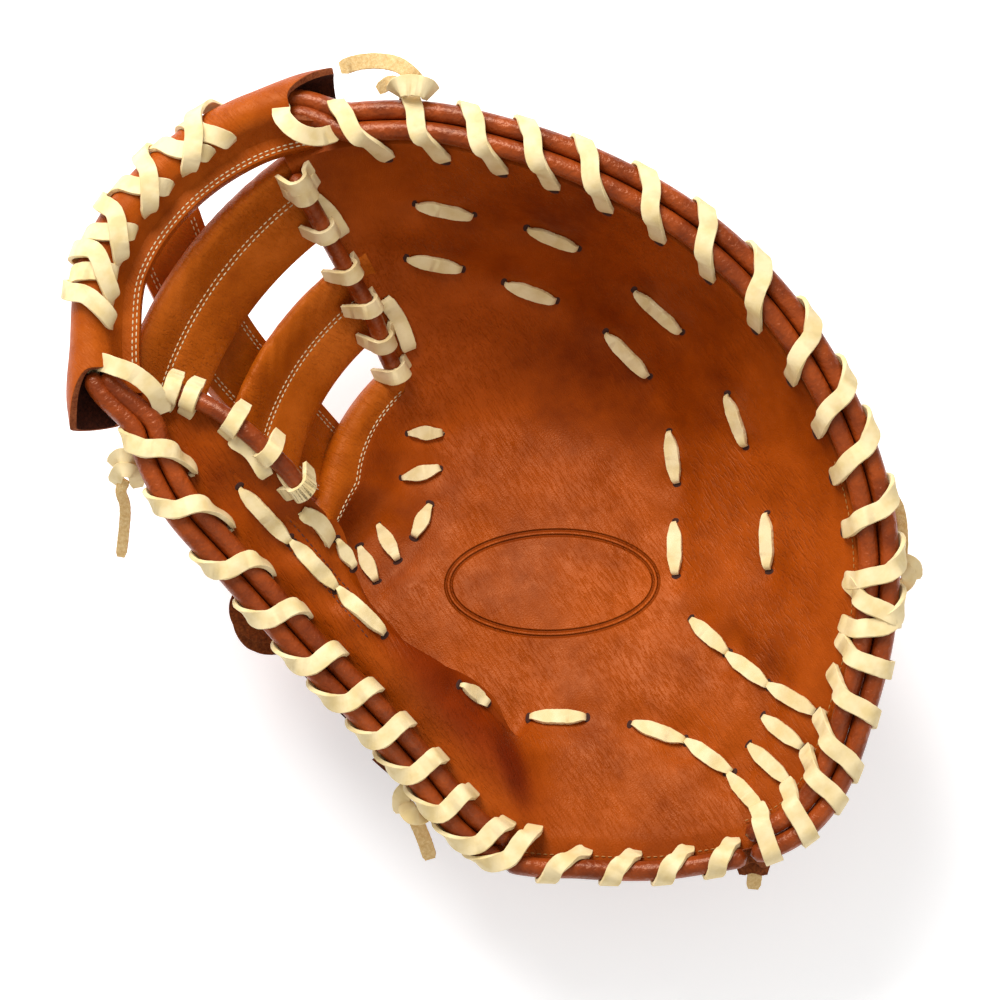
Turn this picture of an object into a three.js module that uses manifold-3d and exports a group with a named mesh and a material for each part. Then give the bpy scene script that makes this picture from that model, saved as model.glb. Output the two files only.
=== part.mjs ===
// First baseman mitt for the left hand, lying on its back with the pocket up.
// Millimetres, +Z up. +Y runs from the heel to the web, +X to the little finger's side.
// Every form is worked out round one point in the palm, the pocket's centre, from
// the rim's reach and height and the short tables of shares below.
import * as THREE from 'three';
import { mergeVertices } from 'three/addons/utils/BufferGeometryUtils.js';
import Module from 'manifold-3d';

const wasm = await Module();
wasm.setup();

// Driving sizes.
const RIM_REACH = 150;          // pocket's centre to the rim, near the heel's corner
const RIM_HEIGHT = 112;         // floor to the top of the leather at the highest rim
const POCKET_BOTTOM = 27;       // floor to the pocket's deepest leather
const HEEL_PAD_RISE = 25;       // how much higher the padded heel lies than the pocket
const HEEL_PAD_START = 40;      // where that rise begins, along Y
const HEEL_PAD_END = -125;      // where it ends
const POCKET_RADIUS = 120;      // round reach that the inner rows of the bowl follow
const THUMB_BULGE = 5;          // how far the padded thumb swells above its rim
const PALM_LEATHER = 3;
const BACK_LEATHER = 2.6;
const ROLL_DIAMETER = 6.8;      // the two welts that run side by side along the rim
const WEB_WELT_DIAMETER = 5.4;  // the thinner welt along the web's opening
const CLEARANCE = 0.3;
const BAND_TUBE_DIAMETER = 15.6;
const BAND_LEATHER = 2.4;
const BAND_FLANGE = 8;          // flat part of the top band, inside its tube
const BAND_FLANGE_THICKNESS = 5;
const BAND_MOUTH_FLARE = 0.3;   // share by which the tube widens at its mouths
const LOOP_THICKNESS = 4.6;
const LOOP_CROWN = 3;
const SPINE_WIDTH = 26;
const SPINE_THICKNESS = 4;
const WEB_SAG = 5;              // how far the web's strips hang between their ends
const WEB_TUCK = 8;             // how far their ends run on under the palm's edges
const WEB_LAYER_GAP = 1.5;      // slack between the palm's edges and the strips below them
const LOOP_SLOPE_ROOM = 2.9;    // room under the loops' slopes for the spine behind them
const STRAP_THICKNESS = 3;
const STRAP_WIDTH = 30;
const KEEPER_WIDTH = 14;
const KEEPER_THICKNESS = 2;
const KEEPER_OVERHANG = 2;      // how far the keeper stands out past each edge of the strap
const PULL_LOOP_WIDTH = 9;
const PULL_LOOP_RADIUS = 6;
const PULL_LOOP_THICKNESS = 2;

// One row for each section of the mitt, going round. Columns: angle in degrees from
// +X, the rim's reach and height as shares of RIM_REACH and RIM_HEIGHT, the foot where
// the wall leaves the pocket's floor and the crest of the thumb's fold as shares of the
// way out, and how much of the fold there is above and below the web's opening.
const REACH = 1;
const HEIGHT = 2;
const FOOT = 3;
const CREST = 4;
const FOLD = 5;
const FOLD_LOW = 6;
const SECTIONS = [
  [-180, 0.665, 0.755, 0.30, 0.60, 1, 1],
  [-160, 0.660, 0.700, 0.30, 0.62, 1, 1],
  [-145, 0.715, 0.610, 0.30, 0.60, 1, 1],
  [-132, 0.825, 0.540, 0.35, 0.64, 1, 1],
  [-126, 0.866, 0.526, 0.40, 0.76, 1, 1],
  [-121, 0.880, 0.520, 0.45, 0.88, 0, 0],
  [-114, 0.895, 0.525, 0.48, 0.90, 0, 0],
  [-100, 0.958, 0.555, 0.50, 0.90, 0, 0],
  [-83, 1.030, 0.640, 0.48, 0.90, 0, 0],
  [-65, 0.945, 0.740, 0.42, 0.90, 0, 0],
  [-45, 0.865, 0.830, 0.36, 0.90, 0, 0],
  [-20, 0.770, 0.910, 0.30, 0.90, 0, 0],
  [0, 0.727, 0.960, 0.26, 0.90, 0, 0],
  [20, 0.715, 0.990, 0.24, 0.90, 0, 0],
  [40, 0.735, 1.000, 0.24, 0.90, 0, 0],
  [58, 0.793, 0.985, 0.25, 0.90, 0, 0],
  [75, 0.893, 0.930, 0.27, 0.90, 0, 0],
  [90, 0.975, 0.870, 0.28, 0.80, 0, 0],
  [110, 0.985, 0.900, 0.28, 0.70, 0.5, 0],
  [128, 0.955, 0.945, 0.28, 0.62, 1, 0],
  [140, 0.895, 0.925, 0.28, 0.60, 1, 0],
  [153, 0.810, 0.875, 0.28, 0.58, 1, 0.4],
  [165, 0.720, 0.810, 0.30, 0.58, 1, 1],
];

// The web's opening in the palm: row share and the angle of its edge on each side.
const OPENING_BOTTOM = 0.45;
const FINGER_EDGE = [[0.45, 101], [0.50, 99], [0.60, 95.5], [0.75, 94], [1, 92.5]];
const THUMB_EDGE = [
  [0.45, 158], [0.58, 163], [0.65, 159], [0.70, 149], [0.76, 142], [0.85, 137.5], [1, 135],
];

// The thumb's fold, from the pocket's centre outwards. Columns: row share, how far out
// as a share of the crest plus a share of the whole way, and the rise to the rim.
const FOLD_ROWS = [
  [0.00, 0.00, 0.000, 0.00],
  [0.30, 0.72, 0.000, 0.00],
  [0.45, 1.00, 0.040, 0.04],
  [0.53, 1.00, 0.050, 0.45],
  [0.60, 1.00, 0.010, 0.84],
  [0.66, 0.95, 0.040, 0.97],
  [0.80, 0.55, 0.440, 1.00],
  [1.00, 0.00, 1.000, 1.00],
];
const FOLD_BLEND = 0.15;        // rows in which the lower fold turns into the upper one
const SWELL_START = 0.55;       // row where the thumb's padding begins to swell
const WALL_CURVE = 1.8;         // power of the bowl's rise from foot to rim
const WALL_TOP = 0.95;          // row where the wall ends and the edge's flange begins

// The backs: share where they leave the floor, and power of their rise to the rim.
const BACK_FOOT = 0.58;
const FINGER_BACK_CURVE = 2.1;
const THUMB_BACK_CURVE = 1.6;
const FINGER_BACK_START = -62;
const THUMB_BACK_END = 237;
const SIDE_WALL_ANGLE = 13;     // how many degrees a back takes to close on the web's side
const SIDE_WALL_SETBACK = 4.5;

// The web. Each loop's inner and outer edge from the pocket's centre.
const PANEL_INNER = 51;
const PANEL_OUTER = 69;
const PANEL_SPREAD = 4;         // how much further out its outer edge lies at the thumb
const PANEL_LEVEL = 0.5;        // share of the web's rise to the thumb that it takes
const INNER_LOOP_INNER = 78;
const INNER_LOOP_OUTER = 103;
const OUTER_LOOP_INNER = 112;
const OUTER_LOOP_OUTER = 139;
// The top band's outline: angle, reach as a share of RIM_REACH, height of its middle.
const BAND_PATH = [
  [85, 1.030, 0.90],
  [95, 1.078, 0.93],
  [108, 1.108, 0.96],
  [120, 1.104, 0.97],
  [129, 1.058, 0.96],
  [138, 1.010, 0.95],
];
// The web's spine: distance from the pocket's centre as a share of RIM_REACH, angle.
const SPINE_PATH = [[0.364, 139], [0.552, 128], [0.773, 120], [1.027, 110]];

// The wrist strap: angle and middle of the strap as a share of the back's way out.
const STRAP_PATH = [
  [-172, 0.83], [-150, 0.83], [-132, 0.77], [-115, 0.74], [-92, 0.74], [-74, 0.78], [-54, 0.84],
];
const KEEPER_ANGLE = -148;
const PULL_LOOP_ANGLE = -131;

// The leathers' colour and roughness.
const TAN_LEATHER = [0xb5602a, 0.55];
const WEB_LEATHER = [0xc06a2c, 0.5];
const WELT_LEATHER = [0x6b2a1a, 0.35];
const STRAP_LEATHER = [0x6b2a1a, 0.6];

const WELD_DISTANCE = 0.005;    // points closer than this are one point of a wall
const MERGE_DISTANCE = 1e-4;    // and of a solid that is cut
const PATH_STEP = 0.01;         // share of a path over which its direction is taken

function mix(from, to, share) {
  return from + (to - from) * share;
}

function ease(share) {
  const t = Math.min(1, Math.max(0, share));
  return t * t * (3 - 2 * t);
}

// Smooth value of one column of a table at a place in its first column. A table that
// goes round has its turn, 360 degrees, and an open one has none.
function valueAt(table, column, place, turn = 0) {
  const count = table.length;
  const low = table[0][0];
  const x = turn ? low + THREE.MathUtils.euclideanModulo(place - low, turn)
    : Math.min(table[count - 1][0], Math.max(low, place));
  let k = count - 1;
  while (k > 0 && table[k][0] > x) k -= 1;
  if (!turn) k = Math.min(k, count - 2);
  const pick = (index) => {
    if (!turn) return table[Math.min(count - 1, Math.max(0, index))];
    const row = table[(index + count) % count];
    const shift = Math.floor(index / count) * turn;
    return row.map((value, i) => (i === 0 ? value + shift : value));
  };
  const [before, start, end, after] = [pick(k - 1), pick(k), pick(k + 1), pick(k + 2)];
  const width = end[0] - start[0];
  const slopeIn = (end[column] - before[column]) / (end[0] - before[0]);
  const slopeOut = (after[column] - start[column]) / (after[0] - start[0]);
  const t = (x - start[0]) / width;
  const t2 = t * t;
  const t3 = t2 * t;
  return (2 * t3 - 3 * t2 + 1) * start[column] + (t3 - 2 * t2 + t) * width * slopeIn
    + (3 * t2 - 2 * t3) * end[column] + (t3 - t2) * width * slopeOut;
}

function section(column, angle) {
  return valueAt(SECTIONS, column, angle, 360);
}

function polar(angle, reach, height = 0) {
  const a = THREE.MathUtils.degToRad(angle);
  return new THREE.Vector3(reach * Math.cos(a), reach * Math.sin(a), height);
}

// A point of the rim's outline moved inwards, square to the outline, and up.
function rimPoint(angle, inset, lift = 0) {
  const outline = (a) => polar(a, RIM_REACH * section(REACH, a));
  const step = 1;
  const along = outline(angle + step).sub(outline(angle - step)).normalize();
  const point = outline(angle);
  point.x -= along.y * inset;
  point.y += along.x * inset;
  point.z = RIM_HEIGHT * section(HEIGHT, angle) + lift;
  return point;
}

const BAND_INSET = 2 * ROLL_DIAMETER + CLEARANCE;
const FLANGE_INSET = ROLL_DIAMETER / 2 + BACK_LEATHER;

function pocketFloor(y) {
  return POCKET_BOTTOM + HEEL_PAD_RISE * ease((HEEL_PAD_START - y) / (HEEL_PAD_START - HEEL_PAD_END));
}

// Top surface of the palm's leather: row share from 0, the centre, to 1, the edge.
function palmPoint(share, angle) {
  const top = rimPoint(angle, BAND_INSET + CLEARANCE);
  const row = Math.min(1, share / WALL_TOP);
  const low = section(FOLD_LOW, angle);
  const high = section(FOLD, angle);
  const fold = Math.min(1, Math.max(0, mix(low, high, ease((share - OPENING_BOTTOM) / FOLD_BLEND))));
  const crest = section(CREST, angle);
  const foldedOut = valueAt(FOLD_ROWS, 1, row) * crest + valueAt(FOLD_ROWS, 2, row);
  const out = mix(row, foldedOut, fold);
  const wallTop = Math.hypot(top.x, top.y);
  const reach = out * mix(POCKET_RADIUS, wallTop, out * out);
  const point = new THREE.Vector3(top.x, top.y, 0).multiplyScalar(reach / wallTop);
  const floor = pocketFloor(point.y);
  const foot = section(FOOT, angle);
  const bowlRise = Math.max(0, (row - foot) / (1 - foot)) ** WALL_CURVE;
  const foldRise = valueAt(FOLD_ROWS, 3, row);
  const swell = THUMB_BULGE * fold * Math.sin(Math.PI * ease((row - SWELL_START) / (1 - SWELL_START)));
  point.z = floor + (top.z - floor) * mix(bowlRise, foldRise, fold) + swell;
  if (share > WALL_TOP) {
    const edge = rimPoint(angle, FLANGE_INSET + CLEARANCE);
    point.lerp(edge, (share - WALL_TOP) / (1 - WALL_TOP));
  }
  return point;
}

// Outer surface of the backs, from the hand's opening to the rim.
function backPoint(share, angle, curve) {
  const top = rimPoint(angle, ROLL_DIAMETER / 2 - BACK_LEATHER / 2);
  const rise = Math.max(0, (share - BACK_FOOT) / (1 - BACK_FOOT)) ** curve;
  return new THREE.Vector3(top.x * share, top.y * share, top.z * rise);
}

// Wall of even thickness under a grid of points, or over it where the thickness is
// negative. The grid's cells that are kept are joined where their points meet, and the
// wall is closed along every edge. With some room it is that much fatter on each side,
// as the space that its neighbours leave free.
function leather(pointAt, rows, columns, thickness, keep = () => true, room = 0) {
  const places = new Map();
  const points = [];
  const indexAt = (i, j) => {
    const p = pointAt(i, j);
    const key = [p.x, p.y, p.z].map((v) => Math.round(v / WELD_DISTANCE)).join(',');
    if (!places.has(key)) {
      places.set(key, points.length);
      points.push(p);
    }
    return places.get(key);
  };
  const triangles = [];
  for (let i = 0; i < rows; i += 1) {
    for (let j = 0; j < columns; j += 1) {
      if (!keep(i, j)) continue;
      const [a, b, c, d] = [indexAt(i, j), indexAt(i + 1, j), indexAt(i + 1, j + 1), indexAt(i, j + 1)];
      for (const t of [[a, b, c], [a, c, d]]) {
        if (new Set(t).size === 3) triangles.push(t);
      }
    }
  }
  const normals = points.map(() => new THREE.Vector3());
  for (const t of triangles) {
    const [a, b, c] = t.map((index) => points[index]);
    const normal = b.clone().sub(a).cross(c.clone().sub(a));
    for (const index of t) normals[index].add(normal);
  }
  for (const normal of normals) normal.normalize();
  const far = thickness + Math.sign(thickness) * room;
  const near = Math.sign(thickness) * room;
  const count = points.length;
  const faces = [];
  const edges = new Set(triangles.flatMap(([a, b, c]) => [`${a},${b}`, `${b},${c}`, `${c},${a}`]));
  const outwards = points.map(() => new THREE.Vector3());
  for (const edge of edges) {
    const [a, b] = edge.split(',').map(Number);
    if (edges.has(`${b},${a}`)) continue;
    const away = points[b].clone().sub(points[a]).cross(normals[a]).normalize();
    outwards[a].add(away);
    outwards[b].add(away);
  }
  const moved = (depth) => points.map((p, i) => p.clone().addScaledVector(normals[i], depth)
    .addScaledVector(outwards[i].normalize(), room));
  const outer = moved(near);
  const inner = moved(-far);
  for (const [a, b, c] of triangles) {
    faces.push([a, b, c], [c + count, b + count, a + count]);
  }
  for (const edge of edges) {
    const [a, b] = edge.split(',').map(Number);
    if (!edges.has(`${b},${a}`)) {
      faces.push([b, a, a + count], [b, a + count, b + count]);
    }
  }
  return solid([...outer, ...inner], thickness > 0 ? faces : faces.map((f) => [f[0], f[2], f[1]]));
}

function solid(points, faces) {
  const geometry = new THREE.BufferGeometry();
  const positions = points.flatMap((p) => [p.x, p.y, p.z]);
  geometry.setAttribute('position', new THREE.Float32BufferAttribute(positions, 3));
  geometry.setIndex(faces.flat());
  return geometry;
}

// Sweep of a flat outline, with any holes in it, through stations that each hold a
// point, the two directions of the outline's axes and, if it changes, the outline.
function sweep(stations, firstRings) {
  const rings = firstRings ?? stations[0].rings;
  const size = rings.reduce((sum, ring) => sum + ring.length, 0);
  const points = [];
  const faces = [];
  for (const station of stations) {
    for (const [a, b] of (station.rings ?? rings).flat()) {
      const { point, across, up } = station;
      points.push(point.clone().addScaledVector(across, a).addScaledVector(up, b));
    }
  }
  for (let k = 0; k + 1 < stations.length; k += 1) {
    let first = 0;
    for (const ring of rings) {
      for (let i = 0; i < ring.length; i += 1) {
        const a = k * size + first + i;
        const b = k * size + first + ((i + 1) % ring.length);
        faces.push([a, b, b + size], [a, b + size, a + size]);
      }
      first += ring.length;
    }
  }
  const flat = rings.map((ring) => ring.map(([a, b]) => new THREE.Vector2(a, b)));
  const last = (stations.length - 1) * size;
  for (const [a, b, c] of THREE.ShapeUtils.triangulateShape(flat[0], flat.slice(1))) {
    faces.push([a, c, b], [last + a, last + b, last + c]);
  }
  return outward(solid(points, faces));
}

// Turns a closed mesh inside out if its faces point inwards.
function outward(geometry) {
  const p = geometry.attributes.position;
  const index = geometry.index.array;
  const corner = (i) => new THREE.Vector3().fromBufferAttribute(p, index[i]);
  let volume = 0;
  for (let i = 0; i < index.length; i += 3) {
    volume += corner(i).dot(corner(i + 1).cross(corner(i + 2)));
  }
  if (volume < 0) {
    for (let i = 0; i < index.length; i += 3) {
      [index[i + 1], index[i + 2]] = [index[i + 2], index[i + 1]];
    }
  }
  return geometry;
}

// Stations along a path given as a function of a share from 0 to 1.
function stationsAlong(path, count, ringsAt = () => null) {
  const stations = [];
  for (let k = 0; k <= count; k += 1) {
    const t = k / count;
    const point = path(t);
    const ahead = path(Math.min(1, t + PATH_STEP));
    const along = ahead.sub(path(Math.max(0, t - PATH_STEP))).normalize();
    const across = new THREE.Vector3(along.y, -along.x, 0).normalize();
    const up = across.clone().cross(along).normalize();
    stations.push({ point, across, up, rings: ringsAt(t) });
  }
  return stations;
}

function roundRing(radius, sides, turn = 0.5) {
  const flats = radius / Math.cos(Math.PI / sides);
  return Array.from({ length: sides }, (_, i) => {
    const a = ((i + turn) / sides) * 2 * Math.PI;
    return [flats * Math.cos(a), flats * Math.sin(a)];
  });
}

function manifoldOf(geometry) {
  const merged = mergeVertices(geometry, MERGE_DISTANCE);
  const triVerts = Uint32Array.from(merged.index.array);
  const vertProperties = Float32Array.from(merged.attributes.position.array);
  return new wasm.Manifold(new wasm.Mesh({ numProp: 3, vertProperties, triVerts }));
}

// A piece less all that its neighbours fill, of which only the largest body is kept.
function cutBy(geometry, ...neighbours) {
  let piece = manifoldOf(geometry);
  for (const neighbour of neighbours) piece = piece.subtract(neighbour);
  const bodies = piece.decompose().sort((a, b) => b.volume() - a.volume());
  const mesh = bodies[0].getMesh();
  const result = new THREE.BufferGeometry();
  result.setAttribute('position', new THREE.Float32BufferAttribute(mesh.vertProperties, 3));
  result.setIndex(Array.from(mesh.triVerts));
  return result;
}

const mitt = new THREE.Group();

function addPiece(name, geometry, [color, roughness]) {
  const material = new THREE.MeshStandardMaterial({ color, roughness, metalness: 0 });
  const mesh = new THREE.Mesh(geometry, material);
  mesh.name = name;
  mitt.add(mesh);
  return mesh;
}

// The palm: one leather from the fingers' tips round the heel to the thumb's tip, with
// the web's opening cut out of it.
const PALM_ROWS = [
  0, 0.1, 0.2, 0.29, 0.37, 0.45, 0.5, 0.55, 0.6, 0.65, 0.7, 0.76, 0.83, 0.9, 0.95, 1,
];
const PALM_COLUMNS = 42;
const OPENING_COLUMNS = 8;

function palmAngle(share, column) {
  const thumb = valueAt(THUMB_EDGE, 1, share);
  const finger = valueAt(FINGER_EDGE, 1, share);
  if (column <= PALM_COLUMNS) return mix(thumb, finger + 360, column / PALM_COLUMNS);
  return mix(finger, thumb, (column - PALM_COLUMNS) / OPENING_COLUMNS);
}

function palmSheet(room = 0) {
  const pointAt = (i, j) => palmPoint(PALM_ROWS[i], palmAngle(PALM_ROWS[i], j));
  const keep = (i, j) => j < PALM_COLUMNS || PALM_ROWS[i] < OPENING_BOTTOM;
  const columns = PALM_COLUMNS + OPENING_COLUMNS;
  return leather(pointAt, PALM_ROWS.length - 1, columns, PALM_LEATHER, keep, room);
}

addPiece('palm', palmSheet(), TAN_LEATHER);
const palmRoom = manifoldOf(palmSheet(CLEARANCE));

// The rim's welts: two side by side along the fingers and the thumb, one at the heel.
const ROLL_LIFT = ROLL_DIAMETER / 2 + 2 * CLEARANCE;
const FINGER_TIP_ANGLE = 84;
const HEEL_CORNER_ANGLE = -92;
const THUMB_CORNER_ANGLE = -126;
const THUMB_TIP_ANGLE = -222;
const ROLL_SIDES = 8;
const ROLL_END_GAP = 2 * THREE.MathUtils.radToDeg(CLEARANCE / RIM_REACH);
const OUTER_INSET = ROLL_DIAMETER / 2;
const INNER_INSET = OUTER_INSET + ROLL_DIAMETER + CLEARANCE;

function rimRoll(start, end, inset, steps, room = 0) {
  const path = (t) => rimPoint(mix(start, end, t), inset, ROLL_LIFT);
  return sweep(stationsAlong(path, steps), [roundRing(ROLL_DIAMETER / 2 + room, ROLL_SIDES)]);
}

const ROLLS = [
  ['finger_roll_outer', FINGER_TIP_ANGLE, HEEL_CORNER_ANGLE + ROLL_END_GAP, OUTER_INSET, 32],
  ['finger_roll_inner', FINGER_TIP_ANGLE, HEEL_CORNER_ANGLE + ROLL_END_GAP, INNER_INSET, 32],
  ['heel_roll', HEEL_CORNER_ANGLE, THUMB_CORNER_ANGLE, OUTER_INSET, 10],
  ['thumb_roll_outer', THUMB_CORNER_ANGLE - ROLL_END_GAP, THUMB_TIP_ANGLE, OUTER_INSET, 18],
  ['thumb_roll_inner', THUMB_CORNER_ANGLE - ROLL_END_GAP, THUMB_TIP_ANGLE, INNER_INSET, 18],
];
for (const [name, ...course] of ROLLS) {
  addPiece(name, cutBy(rimRoll(...course), palmRoom), WELT_LEATHER);
}
const rollRooms = ROLLS.map(([, ...course]) => manifoldOf(rimRoll(...course, CLEARANCE)));

// The backs of the fingers and of the thumb. Towards the web each closes up to the
// palm's edge, like the side of an envelope.
const BACK_ROWS = [0.3, 0.45, 0.58, 0.66, 0.74, 0.82, 0.9, 0.96, 1];
const FINGER_BACK_COLUMNS = 26;
const THUMB_BACK_COLUMNS = 16;

function backSheet(start, end, columns, curve, closing, room = 0) {
  const pointAt = (i, j) => {
    const share = BACK_ROWS[i];
    const angle = mix(start(share), end(share), j / columns);
    const point = backPoint(share, angle, curve);
    const side = 1 - Math.abs(angle - closing(share)) / SIDE_WALL_ANGLE;
    const palm = palmPoint(Math.max(OPENING_BOTTOM, share), angle);
    point.z = mix(point.z, palm.z, ease(side));
    return point;
  };
  return leather(pointAt, BACK_ROWS.length - 1, columns, -BACK_LEATHER, () => true, room);
}

const fingerSide = (share) => valueAt(FINGER_EDGE, 1, share) - SIDE_WALL_SETBACK;
const thumbSide = (share) => valueAt(THUMB_EDGE, 1, share) + SIDE_WALL_SETBACK;
const fingerBackSheet = (room) => backSheet(
  () => FINGER_BACK_START, fingerSide, FINGER_BACK_COLUMNS, FINGER_BACK_CURVE, fingerSide, room);
const thumbBackSheet = (room) => backSheet(
  thumbSide, () => THUMB_BACK_END, THUMB_BACK_COLUMNS, THUMB_BACK_CURVE, thumbSide, room);

addPiece('finger_back', cutBy(fingerBackSheet(), palmRoom, ...rollRooms), TAN_LEATHER);
addPiece('thumb_back', cutBy(thumbBackSheet(), palmRoom, ...rollRooms), TAN_LEATHER);
const fingerBackRoom = manifoldOf(fingerBackSheet(CLEARANCE));
const thumbBackRoom = manifoldOf(thumbBackSheet(CLEARANCE));

// Thinner welts on the palm's edges beside the web, each with its edge and the row
// shares that it runs between.
const WELT_SIDES = 6;
const WELT_STEPS = 12;

function edgeWelt(edge, start, end, room = 0) {
  const path = (t) => {
    const share = mix(start, end, t);
    const point = palmPoint(share, valueAt(edge, 1, share));
    point.z += WEB_WELT_DIAMETER / 2 + 2 * CLEARANCE;
    return point;
  };
  return sweep(stationsAlong(path, WELT_STEPS), [roundRing(WEB_WELT_DIAMETER / 2 + room, WELT_SIDES)]);
}
const FINGER_WELT = [FINGER_EDGE, 0.47, 0.93];
const THUMB_WELT = [THUMB_EDGE, 0.66, 0.93];
const cutWelt = (course) => cutBy(edgeWelt(...course), palmRoom, ...rollRooms);
addPiece('finger_edge_welt', cutWelt(FINGER_WELT), WELT_LEATHER);
addPiece('thumb_edge_welt', cutWelt(THUMB_WELT), WELT_LEATHER);
const weltRooms = [FINGER_WELT, THUMB_WELT].map((course) => manifoldOf(edgeWelt(...course, CLEARANCE)));

// The web's height between the palm's two edges, by distance from the pocket's centre
// and share of the way from the fingers to the thumb.
const WEB_DROP = PALM_LEATHER + WEB_LAYER_GAP;
const THUMB_RISE_CURVE = 0.8;

function edgeAt(edge, reach) {
  const step = 0.005;
  let share = OPENING_BOTTOM;
  let point = palmPoint(share, valueAt(edge, 1, share));
  while (Math.hypot(point.x, point.y) < reach && share < WALL_TOP) {
    share += step;
    point = palmPoint(share, valueAt(edge, 1, share));
  }
  return { angle: valueAt(edge, 1, share), height: point.z };
}

// First and last angle of a strip of the web, its ends tucked under the palm's edges.
function webSpan(reach) {
  const tuck = THREE.MathUtils.radToDeg(WEB_TUCK / reach);
  return [edgeAt(FINGER_EDGE, reach).angle - tuck, edgeAt(THUMB_EDGE, reach).angle + tuck];
}

function webHeight(reach, share) {
  const low = pocketFloor(0);
  const tip = RIM_HEIGHT * section(HEIGHT, THUMB_EDGE[THUMB_EDGE.length - 1][1]);
  const way = Math.max(0, (reach - PANEL_INNER) / (OUTER_LOOP_OUTER - PANEL_INNER));
  const thumb = mix(low, tip, way ** THUMB_RISE_CURVE);
  const finger = edgeAt(FINGER_EDGE, reach).height;
  return mix(finger, thumb, ease(share)) - WEB_DROP - WEB_SAG * 4 * share * (1 - share);
}

function webStrip(inner, outer, room = 0) {
  const rows = 5;
  const columns = 13;
  const pointAt = (i, j) => {
    const across = i / rows;
    const reach = mix(inner, outer, across);
    const share = j / columns;
    const [start, end] = webSpan(reach);
    const point = polar(mix(start, end, share), reach, webHeight(reach, share));
    point.z += LOOP_CROWN * (1 - (2 * across - 1) ** 2);
    return point;
  };
  return leather(pointAt, rows, columns, LOOP_THICKNESS, () => true, room);
}

// The web's lowest strip, which is sewn to the palm along the bottom of the opening.
function webPanel(room = 0) {
  const rows = 4;
  const columns = 13;
  const pointAt = (i, j) => {
    const share = j / columns;
    const seam = palmPoint(OPENING_BOTTOM, mix(FINGER_EDGE[0][1], THUMB_EDGE[0][1], share));
    const start = webSpan(PANEL_OUTER)[0];
    const end = THUMB_EDGE[0][1];
    const edge = polar(mix(start, end, share), PANEL_OUTER + PANEL_SPREAD * share);
    edge.z = webHeight(PANEL_OUTER, share * PANEL_LEVEL);
    return seam.lerp(edge, i / rows);
  };
  return leather(pointAt, rows, columns, LOOP_THICKNESS, () => true, room);
}

const LOOPS = [
  ['web_outer_loop', OUTER_LOOP_INNER, OUTER_LOOP_OUTER],
  ['web_inner_loop', INNER_LOOP_INNER, INNER_LOOP_OUTER],
];
const mittRooms = [palmRoom, fingerBackRoom, thumbBackRoom, ...rollRooms, ...weltRooms];
for (const [name, ...edges] of LOOPS) {
  addPiece(name, cutBy(webStrip(...edges), ...mittRooms), WEB_LEATHER);
}
addPiece('web_panel', cutBy(webPanel(), ...mittRooms), WEB_LEATHER);
const stripRooms = LOOPS.map(([, ...edges]) => manifoldOf(webStrip(...edges, CLEARANCE)));
stripRooms.push(manifoldOf(webPanel(CLEARANCE)));

// The web's top band: a leather rolled into a tube with its sewn flange inside, open
// at both ends, which take in the tips of the fingers and of the thumb.
const BAND_STEPS = 16;
const MOUTH_SHARE = 0.16;
const TUBE_POINTS = 11;
const TUBE_HALF_TURN = 140;
const HOLE_SIDES = 8;
const FLANGE_DROP = 1;

function topBand(room = 0) {
  const radius = BAND_TUBE_DIAMETER / 2;
  const first = BAND_PATH[0][0];
  const last = BAND_PATH[BAND_PATH.length - 1][0];
  const path = (t) => {
    const angle = mix(first, last, t);
    const reach = RIM_REACH * valueAt(BAND_PATH, 1, angle) - radius;
    return polar(angle, reach, RIM_HEIGHT * valueAt(BAND_PATH, 2, angle));
  };
  const tip = -(radius + BAND_FLANGE + room);
  const flangeTop = room - FLANGE_DROP;
  const flangeUnder = flangeTop - BAND_FLANGE_THICKNESS - 2 * room;
  const ringsAt = (t) => {
    const mouth = 1 - ease(Math.min(t, 1 - t) / MOUTH_SHARE);
    const wide = radius * (1 + BAND_MOUTH_FLARE * mouth);
    const body = Array.from({ length: TUBE_POINTS }, (_, i) => {
      const a = THREE.MathUtils.degToRad(mix(-TUBE_HALF_TURN, TUBE_HALF_TURN, i / (TUBE_POINTS - 1)));
      return [(wide + room) * Math.cos(a), (wide + room) * Math.sin(a)];
    });
    body.push([tip, flangeTop], [tip, flangeUnder]);
    const hole = roundRing(wide - BAND_LEATHER, HOLE_SIDES).reverse();
    return room ? [body] : [body, hole];
  };
  return sweep(stationsAlong(path, BAND_STEPS, ringsAt));
}
addPiece('web_top_band', cutBy(topBand(), ...mittRooms, ...stripRooms), WEB_LEATHER);
const bandRoom = manifoldOf(topBand(CLEARANCE));

// The web's spine: one wide strap behind the loops, from the top band to the crotch.
const SPINE_DROP = LOOP_THICKNESS + LOOP_SLOPE_ROOM;

function spinePlace(t) {
  const share = mix(SPINE_PATH[0][0], SPINE_PATH[SPINE_PATH.length - 1][0], t);
  return polar(valueAt(SPINE_PATH, 1, share), share * RIM_REACH);
}

function spineSheet() {
  const rows = 12;
  const columns = 4;
  const pointAt = (i, j) => {
    const t = i / rows;
    const middle = spinePlace(t);
    const along = spinePlace(t + PATH_STEP).sub(spinePlace(t - PATH_STEP)).normalize();
    const side = (j / columns - 0.5) * SPINE_WIDTH;
    const point = new THREE.Vector3(middle.x - along.y * side, middle.y + along.x * side, 0);
    const reach = Math.hypot(point.x, point.y);
    const angle = THREE.MathUtils.radToDeg(Math.atan2(point.y, point.x));
    const [start, end] = webSpan(reach);
    point.z = webHeight(reach, (angle - start) / (end - start)) - SPINE_DROP;
    return point;
  };
  return leather(pointAt, rows, columns, SPINE_THICKNESS);
}
addPiece('web_spine', cutBy(spineSheet(), ...mittRooms, ...stripRooms, bandRoom), WEB_LEATHER);

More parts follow.
